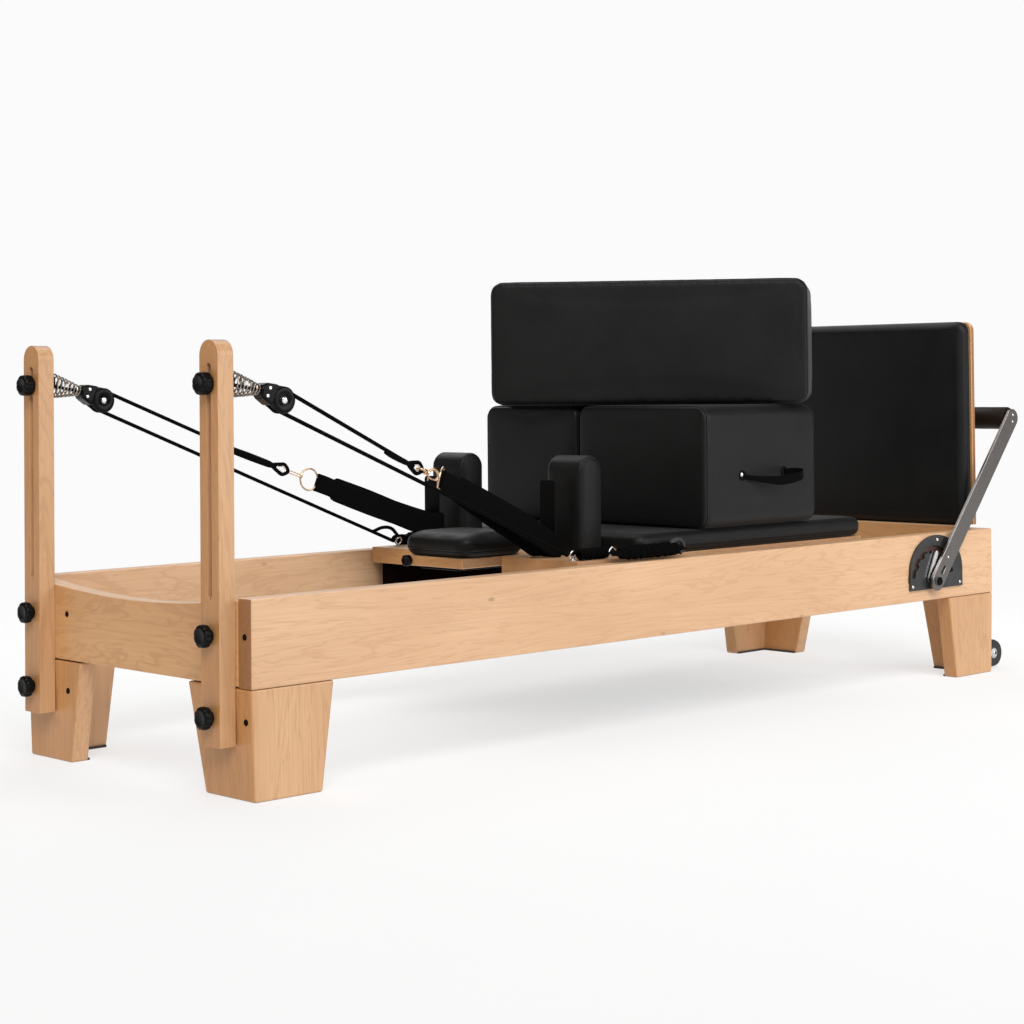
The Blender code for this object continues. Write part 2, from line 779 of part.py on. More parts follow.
def headrest():
    """A hinged board and its cushion. Both hang on the hinge line at the board's foot edge."""
    hinge = pivot("headrest_hinge", (HEADREST_PIVOT_X, 0, PLATFORM_TOP))
    board = block(
        "headrest_board",
        (HEADREST_HEAD_X - HEADREST_PIVOT_X, -HEADREST_HALF_WIDTH, -HEADREST_BOARD),
        (HEADREST_FOOT_X - HEADREST_PIVOT_X, HEADREST_HALF_WIDTH, 0),
        "platform_maple",
    )
    hole = cylinder("prop_hole", 0.0033, -0.03, 0.03, "X", steps=8)
    hole.location = (
        HEADREST_HEAD_X - HEADREST_PIVOT_X,
        HEADREST_KNOB_Y,
        -HEADREST_BOARD / 2,
    )
    hang(hole, hinge)
    hang(board, hinge)
    cut(board, hole)
    rounded(board, 0.002, segments=1, angle=60)
    length, width, height = HEADREST_CUSHION
    outline = rounded_rectangle((-length / 2, -width / 2), (length / 2, width / 2), 0.030, 4)
    pad = plate("headrest_cushion", outline, height, "Z", "black_leather")
    pad.location = (HEADREST_CUSHION_X, 0, GAP + height / 2)
    smooth(pad)
    rounded(pad, 0.012, segments=2, angle=60)
    hang(pad, hinge)


def headrest_knob():
    """The small knob on the headrest board's head edge that sets its height."""
    profile = [
        (0, -0.016),
        (HEADREST_KNOB_RADIUS - 0.003, -0.016),
        (HEADREST_KNOB_RADIUS, -0.013),
        (HEADREST_KNOB_RADIUS, -0.004),
        (HEADREST_KNOB_RADIUS - 0.003, -0.001),
        (0.003, -0.001),
        (0.003, 0.024),
        (0, 0.024),
    ]
    knob = turned("headrest_knob", profile, "X", 16, "black_plastic")
    knob.location = (HEADREST_HEAD_X, HEADREST_KNOB_Y, PLATFORM_TOP - HEADREST_BOARD / 2)


def shoulder_rest(side, sign):
    width = SHOULDER_X[1] - SHOULDER_X[0]
    depth = SHOULDER_Y[1] - SHOULDER_Y[0]
    height = SHOULDER_TOP - PLATFORM_TOP - GAP
    outline = tombstone(width / 2, 0, height, steps=10)
    made = plate(f"shoulder_rest_{side}", outline, depth, "Y", "black_leather")
    made.location = (sum(SHOULDER_X) / 2, sign * sum(SHOULDER_Y) / 2, PLATFORM_TOP + GAP)
    smooth(made)
    rounded(made, 0.006, segments=2, angle=60)


def strap_post(side, sign):
    """A flat steel post in front of each shoulder rest, which the parked strap hooks over."""
    height = POST_TOP - PLATFORM_TOP - GAP
    made = plate(
        f"strap_post_{side}",
        rounded_rectangle((-POST_WIDTH / 2, 0), (POST_WIDTH / 2, height), POST_CORNER, steps=4),
        POST_THICKNESS,
        "X",
        "black_steel",
    )
    made.location = (POST_X, sign * POST_Y, PLATFORM_TOP + GAP)
    smooth(made)


def spring(side, y):
    """A tension spring's envelope: its coils, and a hook at each end."""
    rod, coil, end = 0.003, SPRING_RADIUS, 0.030
    profile = [
        (0, SPRING_HEAD_X),
        (rod, SPRING_HEAD_X),
        (rod, SPRING_HEAD_X + end),
        (coil, SPRING_HEAD_X + end + 0.008),
        (coil, SPRING_FOOT_X - end - 0.008),
        (rod, SPRING_FOOT_X - end),
        (rod, SPRING_BAR_X + 0.004),
        (0, SPRING_BAR_X + 0.004),
    ]
    made = turned(f"spring_{side}", profile, "X", 10, "spring_steel")
    made.location = (0, y, SPRING_Z)


# ---- Footbar ----
def footbar_frame(axis):
    """Two flat arms joined by a steel tube. The arms turn on the gear plates' bosses."""
    outline = stadium(FOOTBAR_REACH, ARM_WIDTH / 2, ARM_WIDTH / 2, steps=16)
    bar = cylinder("footbar_tube", BAR_RADIUS, -ARM_Y, ARM_Y, "Y", steps=24)
    bar.location = (FOOTBAR_REACH, 0, 0)
    arms = {}
    for side, sign in SIDES.items():
        name = "footbar_frame" if side == "right" else "footbar_arm_left"
        arm = plate(name, outline, ARM_THICKNESS, "Y", "brushed_steel")
        arm.location = (0, sign * ARM_Y, 0)
        bore = cylinder(f"arm_bore_{side}", ARM_BORE_RADIUS, -0.01, 0.01, "Y", steps=16)
        bore.location = arm.location
        window_outline = stadium(0.018, 0.004, 0.004, steps=4)
        window = plate(f"arm_window_{side}", window_outline, 0.02, "Y")
        window.location = (0.026, sign * ARM_Y, 0)
        for item in (arm, bore, window):
            hang(item, axis)
        cut(arm, bore)
        cut(arm, window)
        arms[side] = arm
    hang(bar, axis)
    join(arms["right"], bar)
    join(arms["right"], arms["left"])
    rounded(arms["right"], 0.001, segments=1, angle=60)


def footbar_grip(axis):
    half = ARM_Y - ARM_THICKNESS / 2 - 0.006
    inner = BAR_RADIUS + GAP
    profile = [
        (inner, -half),
        (GRIP_RADIUS - 0.004, -half),
        (GRIP_RADIUS, -half + 0.004),
        (GRIP_RADIUS, half - 0.004),
        (GRIP_RADIUS - 0.004, half),
        (inner, half),
    ]
    grip = turned("footbar_grip", profile, "Y", 20, "black_foam", bored=True)
    grip.location = (FOOTBAR_REACH, 0, 0)
    hang(grip, axis)


def lock_lever():
    """A thin catch between the right arm and its gear plate, on a pivot of its own."""
    hinge = pivot("lock_lever_pivot", LOCK_LEVER_PIVOT, (0, -LOCK_LEVER_ANGLE, 0))
    outline = stadium(0.070, 0.009, 0.006, steps=6)
    lever = plate("lock_lever", outline, 0.003, "Y", "brushed_steel")
    hang(lever, hinge)


def gear_plate(side, sign):
    """A half-moon plate with a notched slot, and the boss that its footbar arm turns on."""
    low_y, high_y = GEAR_Y
    thickness = high_y - low_y
    middle_x = sum(GEAR_X) / 2
    half_x = (GEAR_X[1] - GEAR_X[0]) / 2
    shoulder_z = GEAR_Z[0] + 0.045
    outline = [(-half_x, GEAR_Z[0]), (half_x, GEAR_Z[0])]
    steps = 28
    for i in range(steps + 1):
        angle = math.pi * i / steps
        x = half_x * math.cos(angle)
        outline.append((x, shoulder_z + (GEAR_Z[1] - shoulder_z) * math.sin(angle)))
    made = plate(f"gear_plate_{side}", outline, thickness, "Y", "gunmetal")
    made.location = (middle_x, sign * (low_y + high_y) / 2, 0)
    inner, outer = GEAR_SLOT_RADII
    first, last, depth = 12, 172, 0.006
    slot_outline = arc((0, 0), outer, first, last, 24)
    pitch = (last - first) / GEAR_NOTCHES
    for i in range(GEAR_NOTCHES):
        start = last - i * pitch
        tooth_end = start - 0.6 * pitch
        slot_outline += arc((0, 0), inner, start, tooth_end, 2)
        slot_outline += arc((0, 0), inner - depth, tooth_end, start - pitch, 1)
    slot = plate(f"gear_slot_{side}", slot_outline, 0.03, "Y")
    slot.location = (FOOTBAR_PIVOT.x, made.location.y, FOOTBAR_PIVOT.z)
    cut(made, slot)
    outer_face = ARM_Y + ARM_THICKNESS / 2 + GAP
    profile = [
        (0, low_y + 0.001),
        (BOSS_RADIUS, low_y + 0.001),
        (BOSS_RADIUS, outer_face),
        (BOSS_RADIUS + 0.004, outer_face),
        (BOSS_RADIUS + 0.004, outer_face + 0.004),
        (0, outer_face + 0.004),
    ]
    boss = turned(f"gear_boss_{side}", [(r, sign * y) for r, y in profile], "Y", 16)
    boss.location = FOOTBAR_PIVOT
    join(made, boss)


# ---- Transport wheels ----
def wheel_bracket(side, sign):
    """A steel angle on the leg's end face, with the wheel's pin."""
    plate_x = LENGTH / 2 + GAP
    inner_y = WHEEL_CENTRE.y - WHEEL_WIDTH / 2 - 0.006
    low, high = sorted((sign * (inner_y - 0.003), sign * (inner_y + 0.036)))
    made = block(
        f"wheel_bracket_{side}", (plate_x, low, 0.030), (plate_x + 0.003, high, 0.075), "gunmetal"
    )
    cheek_low, cheek_high = sorted((sign * inner_y, sign * (inner_y + 0.003)))
    cheek = block(
        f"wheel_cheek_{side}",
        (plate_x + 0.001, cheek_low, 0.032),
        (WHEEL_CENTRE.x + 0.008, cheek_high, 0.052),
    )
    pin_low, pin_high = sorted((sign * (inner_y + 0.001), sign * (WHEEL_CENTRE.y + 0.013)))
    pin = cylinder(f"wheel_pin_{side}", 0.0040, pin_low, pin_high, "Y")
    pin.location = (WHEEL_CENTRE.x, 0, WHEEL_CENTRE.z)
    join(made, cheek)
    join(made, pin)


def transport_wheel(side, sign):
    half = WHEEL_WIDTH / 2
    profile = [
        (0.0043, -half),
        (0.014, -half),
        (0.016, -half + 0.003),
        (0.026, -half + 0.003),
        (0.029, -half),
        (WHEEL_RADIUS - 0.003, -half),
        (WHEEL_RADIUS, -half + 0.003),
        (WHEEL_RADIUS, half - 0.003),
        (WHEEL_RADIUS - 0.003, half),
        (0.029, half),
        (0.026, half - 0.003),
        (0.016, half - 0.003),
        (0.014, half),
        (0.0043, half),
    ]
    wheel = turned(f"transport_wheel_{side}", profile, "Y", 20, "black_rubber", bored=True)
    wheel.location = (WHEEL_CENTRE.x, sign * WHEEL_CENTRE.y, WHEEL_CENTRE.z)


# ---- Jumpboard ----
def jumpboard_panel():
    """The plywood back, with rounded top corners and two tongues for the platform's slots."""
    half = JUMPBOARD_HALF_WIDTH
    bottom = STAND_TOP + 0.001
    top_corner = 0.022
    outline = [(-half, bottom)]
    for sign in (-1, 1):
        near = sign * TONGUE_Y - TONGUE_WIDTH / 2
        far = sign * TONGUE_Y + TONGUE_WIDTH / 2
        outline += [(near, bottom), (near, TONGUE_BOTTOM), (far, TONGUE_BOTTOM), (far, bottom)]
    outline.append((half, bottom))
    outline += arc((half - top_corner, JUMPBOARD_TOP - top_corner), top_corner, 0, 90, 5)
    outline += arc((-half + top_corner, JUMPBOARD_TOP - top_corner), top_corner, 90, 180, 5)
    panel = plate("jumpboard_panel", outline, JUMPBOARD_PANEL - GAP, "X", "maple")
    panel.location = (JUMPBOARD_PANEL_X + JUMPBOARD_PANEL / 2 + GAP, 0, 0)
    rounded(panel, 0.0015, segments=1, angle=60)


def jumpboard_pad():
    half = JUMPBOARD_HALF_WIDTH
    low, high = STAND_TOP + 0.0015, JUMPBOARD_TOP
    middle = (low + high) / 2
    outline = rounded_rectangle((-half, low - middle), (half, high - middle), 0.022, 5)
    pad = plate(
        "jumpboard_pad", outline, JUMPBOARD_PANEL_X - JUMPBOARD_PAD_X, "X", "black_leather"
    )
    pad.location = ((JUMPBOARD_PAD_X + JUMPBOARD_PANEL_X) / 2, 0, middle)
    smooth(pad)
    rounded(pad, 0.008, segments=2, angle=60)


# ---- Boxes ----
def padded_box(name, size, normal, location, turn=0.0):
    """An upholstered box whose two big faces, across normal, have rounded corners."""
    across = [value for value, letter in zip(size, "XYZ") if letter != normal]
    depth = size["XYZ".index(normal)]
    low = [-value / 2 for value in across]
    high = [value / 2 for value in across]
    outline = rounded_rectangle(low, high, BOX_CORNER, steps=5)
    made = plate(name, outline, depth, normal, "black_leather")
    made.location = location
    made.rotation_euler = (0, 0, turn)
    smooth(made)
    rounded(made, BOX_EDGE, segments=2, angle=60)


def lower_boxes():
    """Two boxes side by side across the carriage pad."""
    length = LOWER_BOX_X[1] - LOWER_BOX_X[0]
    height = LOWER_BOX_TOP - PAD_TOP - GAP
    middle_x = sum(LOWER_BOX_X) / 2
    middle_z = PAD_TOP + GAP + height / 2
    for side, (low, high) in (("right", LOWER_BOX_RIGHT_Y), ("left", LOWER_BOX_LEFT_Y)):
        size = (length, high - low, height)
        padded_box(f"box_lower_{side}", size, "X", (middle_x, (low + high) / 2, middle_z))


def upper_box():
    middle_z = LOWER_BOX_TOP + GAP + UPPER_BOX_SIZE[2] / 2
    location = (*UPPER_BOX_CENTRE, middle_z)
    padded_box("box_upper", UPPER_BOX_SIZE, "Y", location, UPPER_BOX_TURN)


def build_frame():
    for side, sign in SIDES.items():
        side_rail(side, sign)
        track(side, sign)
        riser(side, sign)
        for end, end_sign in (("head", -1), ("foot", 1)):
            leg(end, end_sign, side, sign)
    head_board()
    foot_board()
    spring_bar()
    standing_platform()


def build_head_end():
    for side, sign in SIDES.items():
        for level in KNOB_HEIGHTS:
            riser_knob(side, sign, level)
        pulley_knob(side, sign)
        pulley_carrier(side, sign)
        pulley_block(side, sign)
        pulley_sheave(side, sign)
        rope(side, sign)
        strap(side, sign)


def build_carriage():
    carriage_platform()
    carriage_pad()
    headrest()
    headrest_knob()
    for side, sign in SIDES.items():
        shoulder_rest(side, sign)
        strap_post(side, sign)
        for end, x in ROLLER_X.items():
            carriage_roller(end, x, side, sign)
    for side, y in SPRING_Y.items():
        spring(side, y)


def build_foot_end():
    axis = pivot("footbar_axis", FOOTBAR_PIVOT, (0, -FOOTBAR_ANGLE, 0))
    footbar_frame(axis)
    footbar_grip(axis)
    lock_lever()
    for side, sign in SIDES.items():
        gear_plate(side, sign)
        wheel_bracket(side, sign)
        transport_wheel(side, sign)
    jumpboard_panel()
    jumpboard_pad()


def centre_machine():
    """Puts the middle of the whole machine's length over the origin."""
    machine = pivot("machine", (BED_MIDDLE_X, 0, 0))
    for item in list(bpy.context.scene.objects):
        if item.parent is None and item is not machine:
            item.parent = machine


clear_scene()
build_frame()
build_head_end()
build_carriage()
build_foot_end()
lower_boxes()
upper_box()
centre_machine()
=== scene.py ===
"""The looks of a wooden pilates reformer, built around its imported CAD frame.

Wood and sheet metal keep their CAD shapes and get procedural materials. Knobs, pulleys,
ropes, springs and wheels are rebuilt finer in the same places. Upholstery starts as a
slightly small slab, is inflated by a cloth simulation, and then gets its seams and stitches.
X runs from the head end (-X) to the foot end (+X), +Y is the user's left, +Z is up.
"""

import json
import math
import random

import bmesh
import bpy
import numpy as np
from mathutils import Matrix, Vector
from mathutils.bvhtree import BVHTree
from mathutils.kdtree import KDTree


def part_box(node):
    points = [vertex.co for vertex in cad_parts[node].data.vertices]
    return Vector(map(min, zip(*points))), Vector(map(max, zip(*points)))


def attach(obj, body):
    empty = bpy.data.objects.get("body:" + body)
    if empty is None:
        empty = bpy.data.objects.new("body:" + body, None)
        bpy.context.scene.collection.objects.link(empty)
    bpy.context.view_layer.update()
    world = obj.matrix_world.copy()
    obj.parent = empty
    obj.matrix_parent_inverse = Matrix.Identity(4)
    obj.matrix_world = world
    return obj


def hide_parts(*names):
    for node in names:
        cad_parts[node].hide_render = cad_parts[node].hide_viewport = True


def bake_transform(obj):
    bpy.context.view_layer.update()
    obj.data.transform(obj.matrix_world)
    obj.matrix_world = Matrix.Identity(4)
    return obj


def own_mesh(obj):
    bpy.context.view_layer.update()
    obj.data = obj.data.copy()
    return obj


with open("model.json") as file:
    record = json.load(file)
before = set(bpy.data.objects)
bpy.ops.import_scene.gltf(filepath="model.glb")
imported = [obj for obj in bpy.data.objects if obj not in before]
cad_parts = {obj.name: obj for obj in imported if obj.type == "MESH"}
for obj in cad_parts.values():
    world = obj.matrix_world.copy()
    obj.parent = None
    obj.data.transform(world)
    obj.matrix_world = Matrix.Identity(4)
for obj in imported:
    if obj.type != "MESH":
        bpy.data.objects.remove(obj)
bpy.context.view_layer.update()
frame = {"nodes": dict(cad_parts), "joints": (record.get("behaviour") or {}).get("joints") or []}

SIDES = {"right": -1, "left": 1}
X, Y, Z = Vector((1, 0, 0)), Vector((0, 1, 0)), Vector((0, 0, 1))
JOINTS = {joint["name"]: joint for joint in frame["joints"]}

# ---- Sizes that the frame doesn't state, in metres ----
ROPE_RADIUS = 0.004
ROPE_STEP = 0.0016                 # the spacing of a rope's rings
STRAP_WIDTH = 0.051
STRAP_THICKNESS = 0.006
SEAM_RADIUS = 0.0015
STITCH_PITCH = 0.0060
STITCH_LENGTH = 0.0040
TAIL_ANGLE = math.radians(22)      # each pulley block's tail points up by this much
TAIL_LENGTH = 0.043
SHEAVE_GROOVE = 0.0058             # the radius of the rope's groove round a sheave
GROOVE_DEPTH = 0.0065
BLOCK_HALF = 0.0165                # half the width of a pulley block's body
LOOP_SHIFT = {"right": 0.0, "left": 0.045}    # how far each rope's loop is let out
EYE_SHIFT = {"right": 0.0, "left": 0.038}     # how far each lower run's eye is set back
PARKED_LIFT = {"right": 0.0, "left": 0.030}   # how far each strap sits above the deck
SLEEVE_RADIUS = {"right": 0.0056, "left": 0.0078}
RING_REACH = 0.081
RING_RADIUS = 0.0245
TAB_LENGTH = 0.046
HANK_LENGTH = 0.216
COIL_WIRE = 0.0015
COIL_RADIUS = 0.0115
COIL_PITCH = 0.0046
PLATFORM_BOARD = 0.037
BOX_CORNER = 0.030
UPPER_BOX_TURN = math.radians(-53)
UPPER_BOX_SIZE = (0.766, 0.340)
BACKDROP = 0.965
FLOOR_GLOW = 0.615
CLOTH_FRAMES = 20
WOOD_COAT = 0.15
WOOD_SHIFT = 3.1                   # moves the figure on from one kind of board to the next


# ---- Procedural materials ----
class Surface:
    """One procedural material, built up node by node."""

    def __init__(self, name, colour, roughness, metallic=0.0):
        self.material = bpy.data.materials.new(name)
        self.material.use_nodes = True
        self.tree = self.material.node_tree
        self.shader = self.tree.nodes["Principled BSDF"]
        self.set("Base Color", (*colour, 1.0))
        self.set("Roughness", roughness)
        self.set("Metallic", metallic)

    def set(self, name, value):
        """Sets one of the shader's inputs to a value, or links a socket to it."""
        if isinstance(value, bpy.types.NodeSocket):
            self.tree.links.new(value, self.shader.inputs[name])
        else:
            self.shader.inputs[name].default_value = value

    def add(self, kind, inputs=(), **settings):
        """A new node, with its settings and with its inputs linked or set by name or index."""
        made = self.tree.nodes.new(kind)
        for key, value in settings.items():
            setattr(made, key, value)
        for key, value in dict(inputs).items():
            if isinstance(value, bpy.types.NodeSocket):
                self.tree.links.new(value, made.inputs[key])
            else:
                made.inputs[key].default_value = value
        return made

    def place(self, scale=(1, 1, 1), shift=(0, 0, 0)):
        """Object coordinates, in metres, scaled per axis."""
        source = self.add("ShaderNodeTexCoord")
        inputs = {"Vector": source.outputs["Object"], "Scale": scale, "Location": shift}
        return self.add("ShaderNodeMapping", inputs).outputs["Vector"]

    def facing(self, axis):
        """How squarely the surface faces along an axis, from 0 to 1."""
        source = self.add("ShaderNodeTexCoord")
        split = self.add("ShaderNodeSeparateXYZ", {"Vector": source.outputs["Normal"]})
        return self.maths("ABSOLUTE", split.outputs[axis])

    def noise(self, where, scale, detail=2.0, rough=0.5, distortion=0.0):
        inputs = {"Vector": where, "Scale": scale, "Detail": detail, "Roughness": rough,
                  "Distortion": distortion}
        return self.add("ShaderNodeTexNoise", inputs).outputs["Fac"]

    def cells(self, where, scale):
        made = self.add("ShaderNodeTexVoronoi", {"Vector": where, "Scale": scale})
        return made.outputs["Distance"]

    def wave(self, where, scale, direction):
        inputs = {"Vector": where, "Scale": scale, "Distortion": 0.6, "Detail": 1.0}
        made = self.add("ShaderNodeTexWave", inputs, wave_type="BANDS", bands_direction=direction)
        return made.outputs["Fac"]

    def maths(self, operation, first, second=0.0):
        made = self.add("ShaderNodeMath", {0: first, 1: second}, operation=operation)
        return made.outputs["Value"]

    def ramp(self, share, stops):
        """A colour ramp. Each stop is (position, grey or colour)."""
        made = self.add("ShaderNodeValToRGB", {"Fac": share})
        elements = made.color_ramp.elements
        while len(elements) < len(stops):
            elements.new(0.5)
        for element, (position, value) in zip(elements, stops):
            element.position = position
            element.color = (*value, 1.0) if isinstance(value, tuple) else (value,) * 3 + (1.0,)
        return made.outputs["Color"]

    def mix(self, share, first, second, mode="MIX"):
        inputs = {0: share, 6: first, 7: second}
        made = self.add("ShaderNodeMix", inputs, data_type="RGBA", blend_type=mode)
        return made.outputs[2]

    def bump(self, height, distance, strength=1.0):
        before = self.shader.inputs["Normal"].links
        inputs = {"Height": height, "Distance": distance, "Strength": strength}
        if before:
            inputs["Normal"] = before[0].from_socket
        self.set("Normal", self.add("ShaderNodeBump", inputs).outputs["Normal"])


def colour(tone, share=1.0):
    """A colour as a node input's four numbers, scaled as a whole or channel by channel."""
    shares = share if isinstance(share, tuple) else (share,) * 3
    return (*[value * part for value, part in zip(tone, shares)], 1.0)


def wood(name, grain, light, dark, shift=0.0, end_depth=1.0):
    """Lacquered maple: a wandering figure, fine fibres, flecks, pin knots and dark end grain, and painted
    shade that darkens faces along X to a warmer tone.
    """
    made = Surface(name, light, 0.42)
    axis = "XYZ".index(grain)

    def along(length, across, offset=0.0):
        scale = [across] * 3
        scale[axis] = length
        return made.place(scale, (shift + offset, shift * 1.7 + offset, shift * 0.6))

    figure = made.noise(along(1.1, 9.0, 4.0), 1.0, 4.0, 0.62, 1.6)
    rings = made.maths("SINE", made.maths("MULTIPLY", figure, 62.0))
    fibre = made.noise(along(5.0, 330.0), 1.0, 3.0, 0.6)
    deep = colour(dark, (0.80, 0.74, 0.68))
    layers = [
        (made.noise(along(1.4, 3.4, 7.0), 1.0, 3.0), [(0.34, 0.0), (0.68, 1.0)], colour(light)),
        (made.noise(along(1.6, 5.0), 1.0, 3.0, 0.6, 0.8), [(0.42, 0.0), (0.66, 0.55)], colour(dark)),
        (rings, [(0.0, 0.0), (0.55, 0.06), (1.0, 0.42)], deep),
        (fibre, [(0.34, 0.30), (0.60, 0.0)], deep),
        (made.noise(along(22.0, 190.0, 3.0), 1.0, 1.0), [(0.69, 0.0), (0.75, 0.5)], deep),
        (made.cells(along(3.2, 7.0, 2.3), 1.0), [(0.020, 0.85), (0.045, 0.0)], colour(dark, 0.42)),
    ]
    marked = colour(dark)
    for pattern, stops, tone in layers:
        marked = made.mix(made.ramp(pattern, stops), marked, tone)
    # Painted shade: faces along X, toward the head and foot ends, are multiplied by a warm darker tone in
    # place of the dimmer light they get.
    x_facing_painted_shade = made.mix(made.facing(0), marked, colour((0.90, 0.755, 0.535)), "MULTIPLY")
    across = made.noise(made.place((140, 140, 140)), 1.0, 3.0, 0.7)
    ends = made.mix(across, colour(dark, (0.34, 0.25, 0.17)), colour(dark, (0.62, 0.46, 0.32)))
    end_share = made.ramp(made.facing(axis), [(0.80, 0.0), (0.95, end_depth)])
    made.set("Base Color", made.mix(end_share, x_facing_painted_shade, ends))
    made.set("Roughness", made.ramp(fibre, [(0.3, 0.38), (0.7, 0.52)]))
    made.set("Coat Weight", WOOD_COAT)
    made.set("Coat Roughness", 0.30)
    made.bump(fibre, 0.00012, 0.5)
    made.bump(rings, 0.0001, 0.2)
    return made


def leather(name, base=0.0044, grain_scale=620.0):
    """Matt black upholstery leather with a pebbled grain and faint handling marks."""
    made = Surface(name, (base,) * 3, 0.46)
    where = made.place()
    pebbles = made.cells(where, grain_scale)
    wear = made.noise(where, 9.0, 3.0, 0.6)
    tone = made.ramp(wear, [(0.35, base * 0.85), (0.70, base * 1.5)])
    sunk = made.ramp(pebbles, [(0.2, 0.0), (0.9, 0.6)])
    made.set("Base Color", made.mix(sunk, tone, colour((base * 0.5,) * 3)))
    made.set("Roughness", made.ramp(wear, [(0.3, 0.43), (0.75, 0.52)]))
    made.set("Specular IOR Level", 0.22)
    made.set("Sheen Weight", 0.09)
    made.set("Sheen Roughness", 0.35)
    made.bump(pebbles, 0.00028, 0.55)
    made.bump(made.noise(where, grain_scale * 2.2, 2.0, 0.6), 0.0001, 0.35)
    made.bump(made.noise(where, 45.0, 2.0), 0.0006, 0.10)
    return made.material


def patchy(name, tone, roughness, lift, spread, rub, grain, metallic=0.0, specular=0.5):
    """A plain surface with lighter, rougher patches under a fine grain.

    lift and spread are two (position, value) stops each: shares of the tone, and steps from the
    roughness. rub is the patches' noise scale, detail and roughness. grain is the bumps' noise
    scale, noise roughness, depth and strength.
    """
    made = Surface(name, (tone,) * 3, roughness, metallic)
    where = made.place()
    patches = made.noise(where, *rub)
    made.set("Base Color", made.ramp(patches, [(at, tone * share) for at, share in lift]))
    made.set("Roughness", made.ramp(patches, [(at, roughness + step) for at, step in spread]))
    made.set("Specular IOR Level", specular)
    scale, rough, depth, strength = grain
    made.bump(made.noise(where, scale, 2.0, rough), depth, strength)
    return made.material


def moulded_plastic(name, tone, roughness, specular=0.12):
    """Plastic with a faint stipple, rubbed lighter here and there."""
    return patchy(name, tone, roughness, [(0.3, 0.8), (0.75, 1.7)], [(0.3, -0.06), (0.7, 0.10)],
                  (60.0, 3.0, 0.6), (1500.0, 0.6, 0.00012, 0.5), specular=specular)


def powder_coat(name, tone, roughness, metallic, specular):
    """Sheet metal under a fine orange-peel coat, rubbed lighter here and there."""
    return patchy(name, tone, roughness, [(0.35, 0.85), (0.72, 1.35)], [(0.3, -0.08), (0.7, 0.08)],
                  (28.0, 4.0, 0.65), (900.0, 0.5, 0.00015, 0.4), metallic, specular)


def rubber(name, tone, roughness):
    """Dusty black rubber."""
    return patchy(name, tone, roughness, [(0.4, 1.0), (0.8, 3.0)], [(0.3, -0.07), (0.8, 0.18)],
                  (50.0, 4.0, 0.7), (1100.0, 0.5, 0.0001, 0.4))


def foam(name):
    """The footbar's closed-cell foam: warm black, with tiny cells and a soft skin."""
    made = Surface(name, (0.010, 0.006, 0.004), 0.55)
    where = made.place()
    handled = made.noise(where, 16.0, 3.0, 0.6)
    tones = [(0.3, (0.008, 0.0046, 0.0032)), (0.75, (0.013, 0.0080, 0.0058))]
    made.set("Base Color", made.ramp(handled, tones))
    made.set("Roughness", made.ramp(handled, [(0.3, 0.46), (0.7, 0.64)]))
    made.set("Specular IOR Level", 0.16)
    made.bump(made.cells(where, 1500.0), 0.0002, 0.4)
    return made.material


def brushed_metal(name, tone, direction, roughness, grain=900.0):
    """Bare metal brushed along an axis, with faint stains."""
    made = Surface(name, tone, roughness, 1.0)
    scale = [grain] * 3
    scale["XYZ".index(direction)] = grain * 0.012
    brush = made.noise(made.place(scale), 1.0, 3.0, 0.6)
    stain = made.noise(made.place(), 14.0, 3.0, 0.6)
    low = colour(tone, 0.78)
    brushed = made.mix(brush, low, colour(tone, 1.15))
    made.set("Base Color", made.mix(made.ramp(stain, [(0.4, 0.0), (0.75, 0.25)]), brushed, low))
    made.set("Roughness", made.ramp(brush, [(0.3, roughness - 0.06), (0.7, roughness + 0.12)]))
    made.bump(brush, 0.00008, 0.35)
    return made.material


def polished_metal(name, tone, roughness):
    """Plated hardware with a little tarnish and a few fine scratches."""
    made = Surface(name, tone, roughness, 1.0)
    tarnish = made.noise(made.place(), 70.0, 3.0, 0.6)
    scratch = made.noise(made.place((1200, 90, 260)), 1.0, 2.0, 0.7)
    dull = made.ramp(tarnish, [(0.4, 0.0), (0.8, 0.6)])
    made.set("Base Color", made.mix(dull, colour(tone), colour(tone, 0.72)))
    made.set("Roughness", made.ramp(scratch, [(0.35, roughness), (0.75, roughness + 0.18)]))
    made.bump(scratch, 0.00005, 0.3)
    return made.material


def woven(name, tone, thread):
    """Webbing: crossed ribs of thread, with fluff between them."""
    made = Surface(name, (tone,) * 3, 0.85)
    turned = made.place()
    turned.node.inputs["Rotation"].default_value = (math.radians(45), math.radians(45), 0)
    warp, weft = (made.wave(turned, thread * 0.3, direction) for direction in "XZ")
    weave = made.maths("MULTIPLY", warp, weft)
    made.set("Base Color", made.mix(weave, colour((tone * 0.45,) * 3), colour((tone * 1.6,) * 3)))
    made.set("Specular IOR Level", 0.05)
    made.bump(weave, 0.0004, 0.6)
    made.bump(made.noise(made.place(), 2200.0, 2.0, 0.7), 0.0001, 0.3)
    return made.material


MAPLE_LIGHT = (0.730, 0.475, 0.286)
MAPLE_DARK = (0.615, 0.372, 0.208)
POST_LIGHT = (0.632, 0.378, 0.200)
POST_DARK = (0.531, 0.295, 0.144)
CARRIAGE_LIGHT = (0.660, 0.410, 0.235)
CARRIAGE_DARK = (0.540, 0.315, 0.165)
LEATHER = leather("black_leather")
PIPING = leather("black_piping", 0.0040, 900.0)
THREAD = woven("black_thread", 0.012, 2600.0)
PLASTIC = moulded_plastic("black_plastic", 0.0022, 0.34)
GLOSSY_PLASTIC = moulded_plastic("pulley_plastic", 0.0016, 0.16)
NYLON = moulded_plastic("grey_nylon", 0.10, 0.42, 0.5)
WHITE_HUB = moulded_plastic("pale_hub", 0.45, 0.32, 0.5)
BLACK_STEEL = powder_coat("black_steel", 0.0025, 0.42, 0.0, 0.05)
GUNMETAL = powder_coat("gunmetal", 0.062, 0.36, 0.8, 0.5)
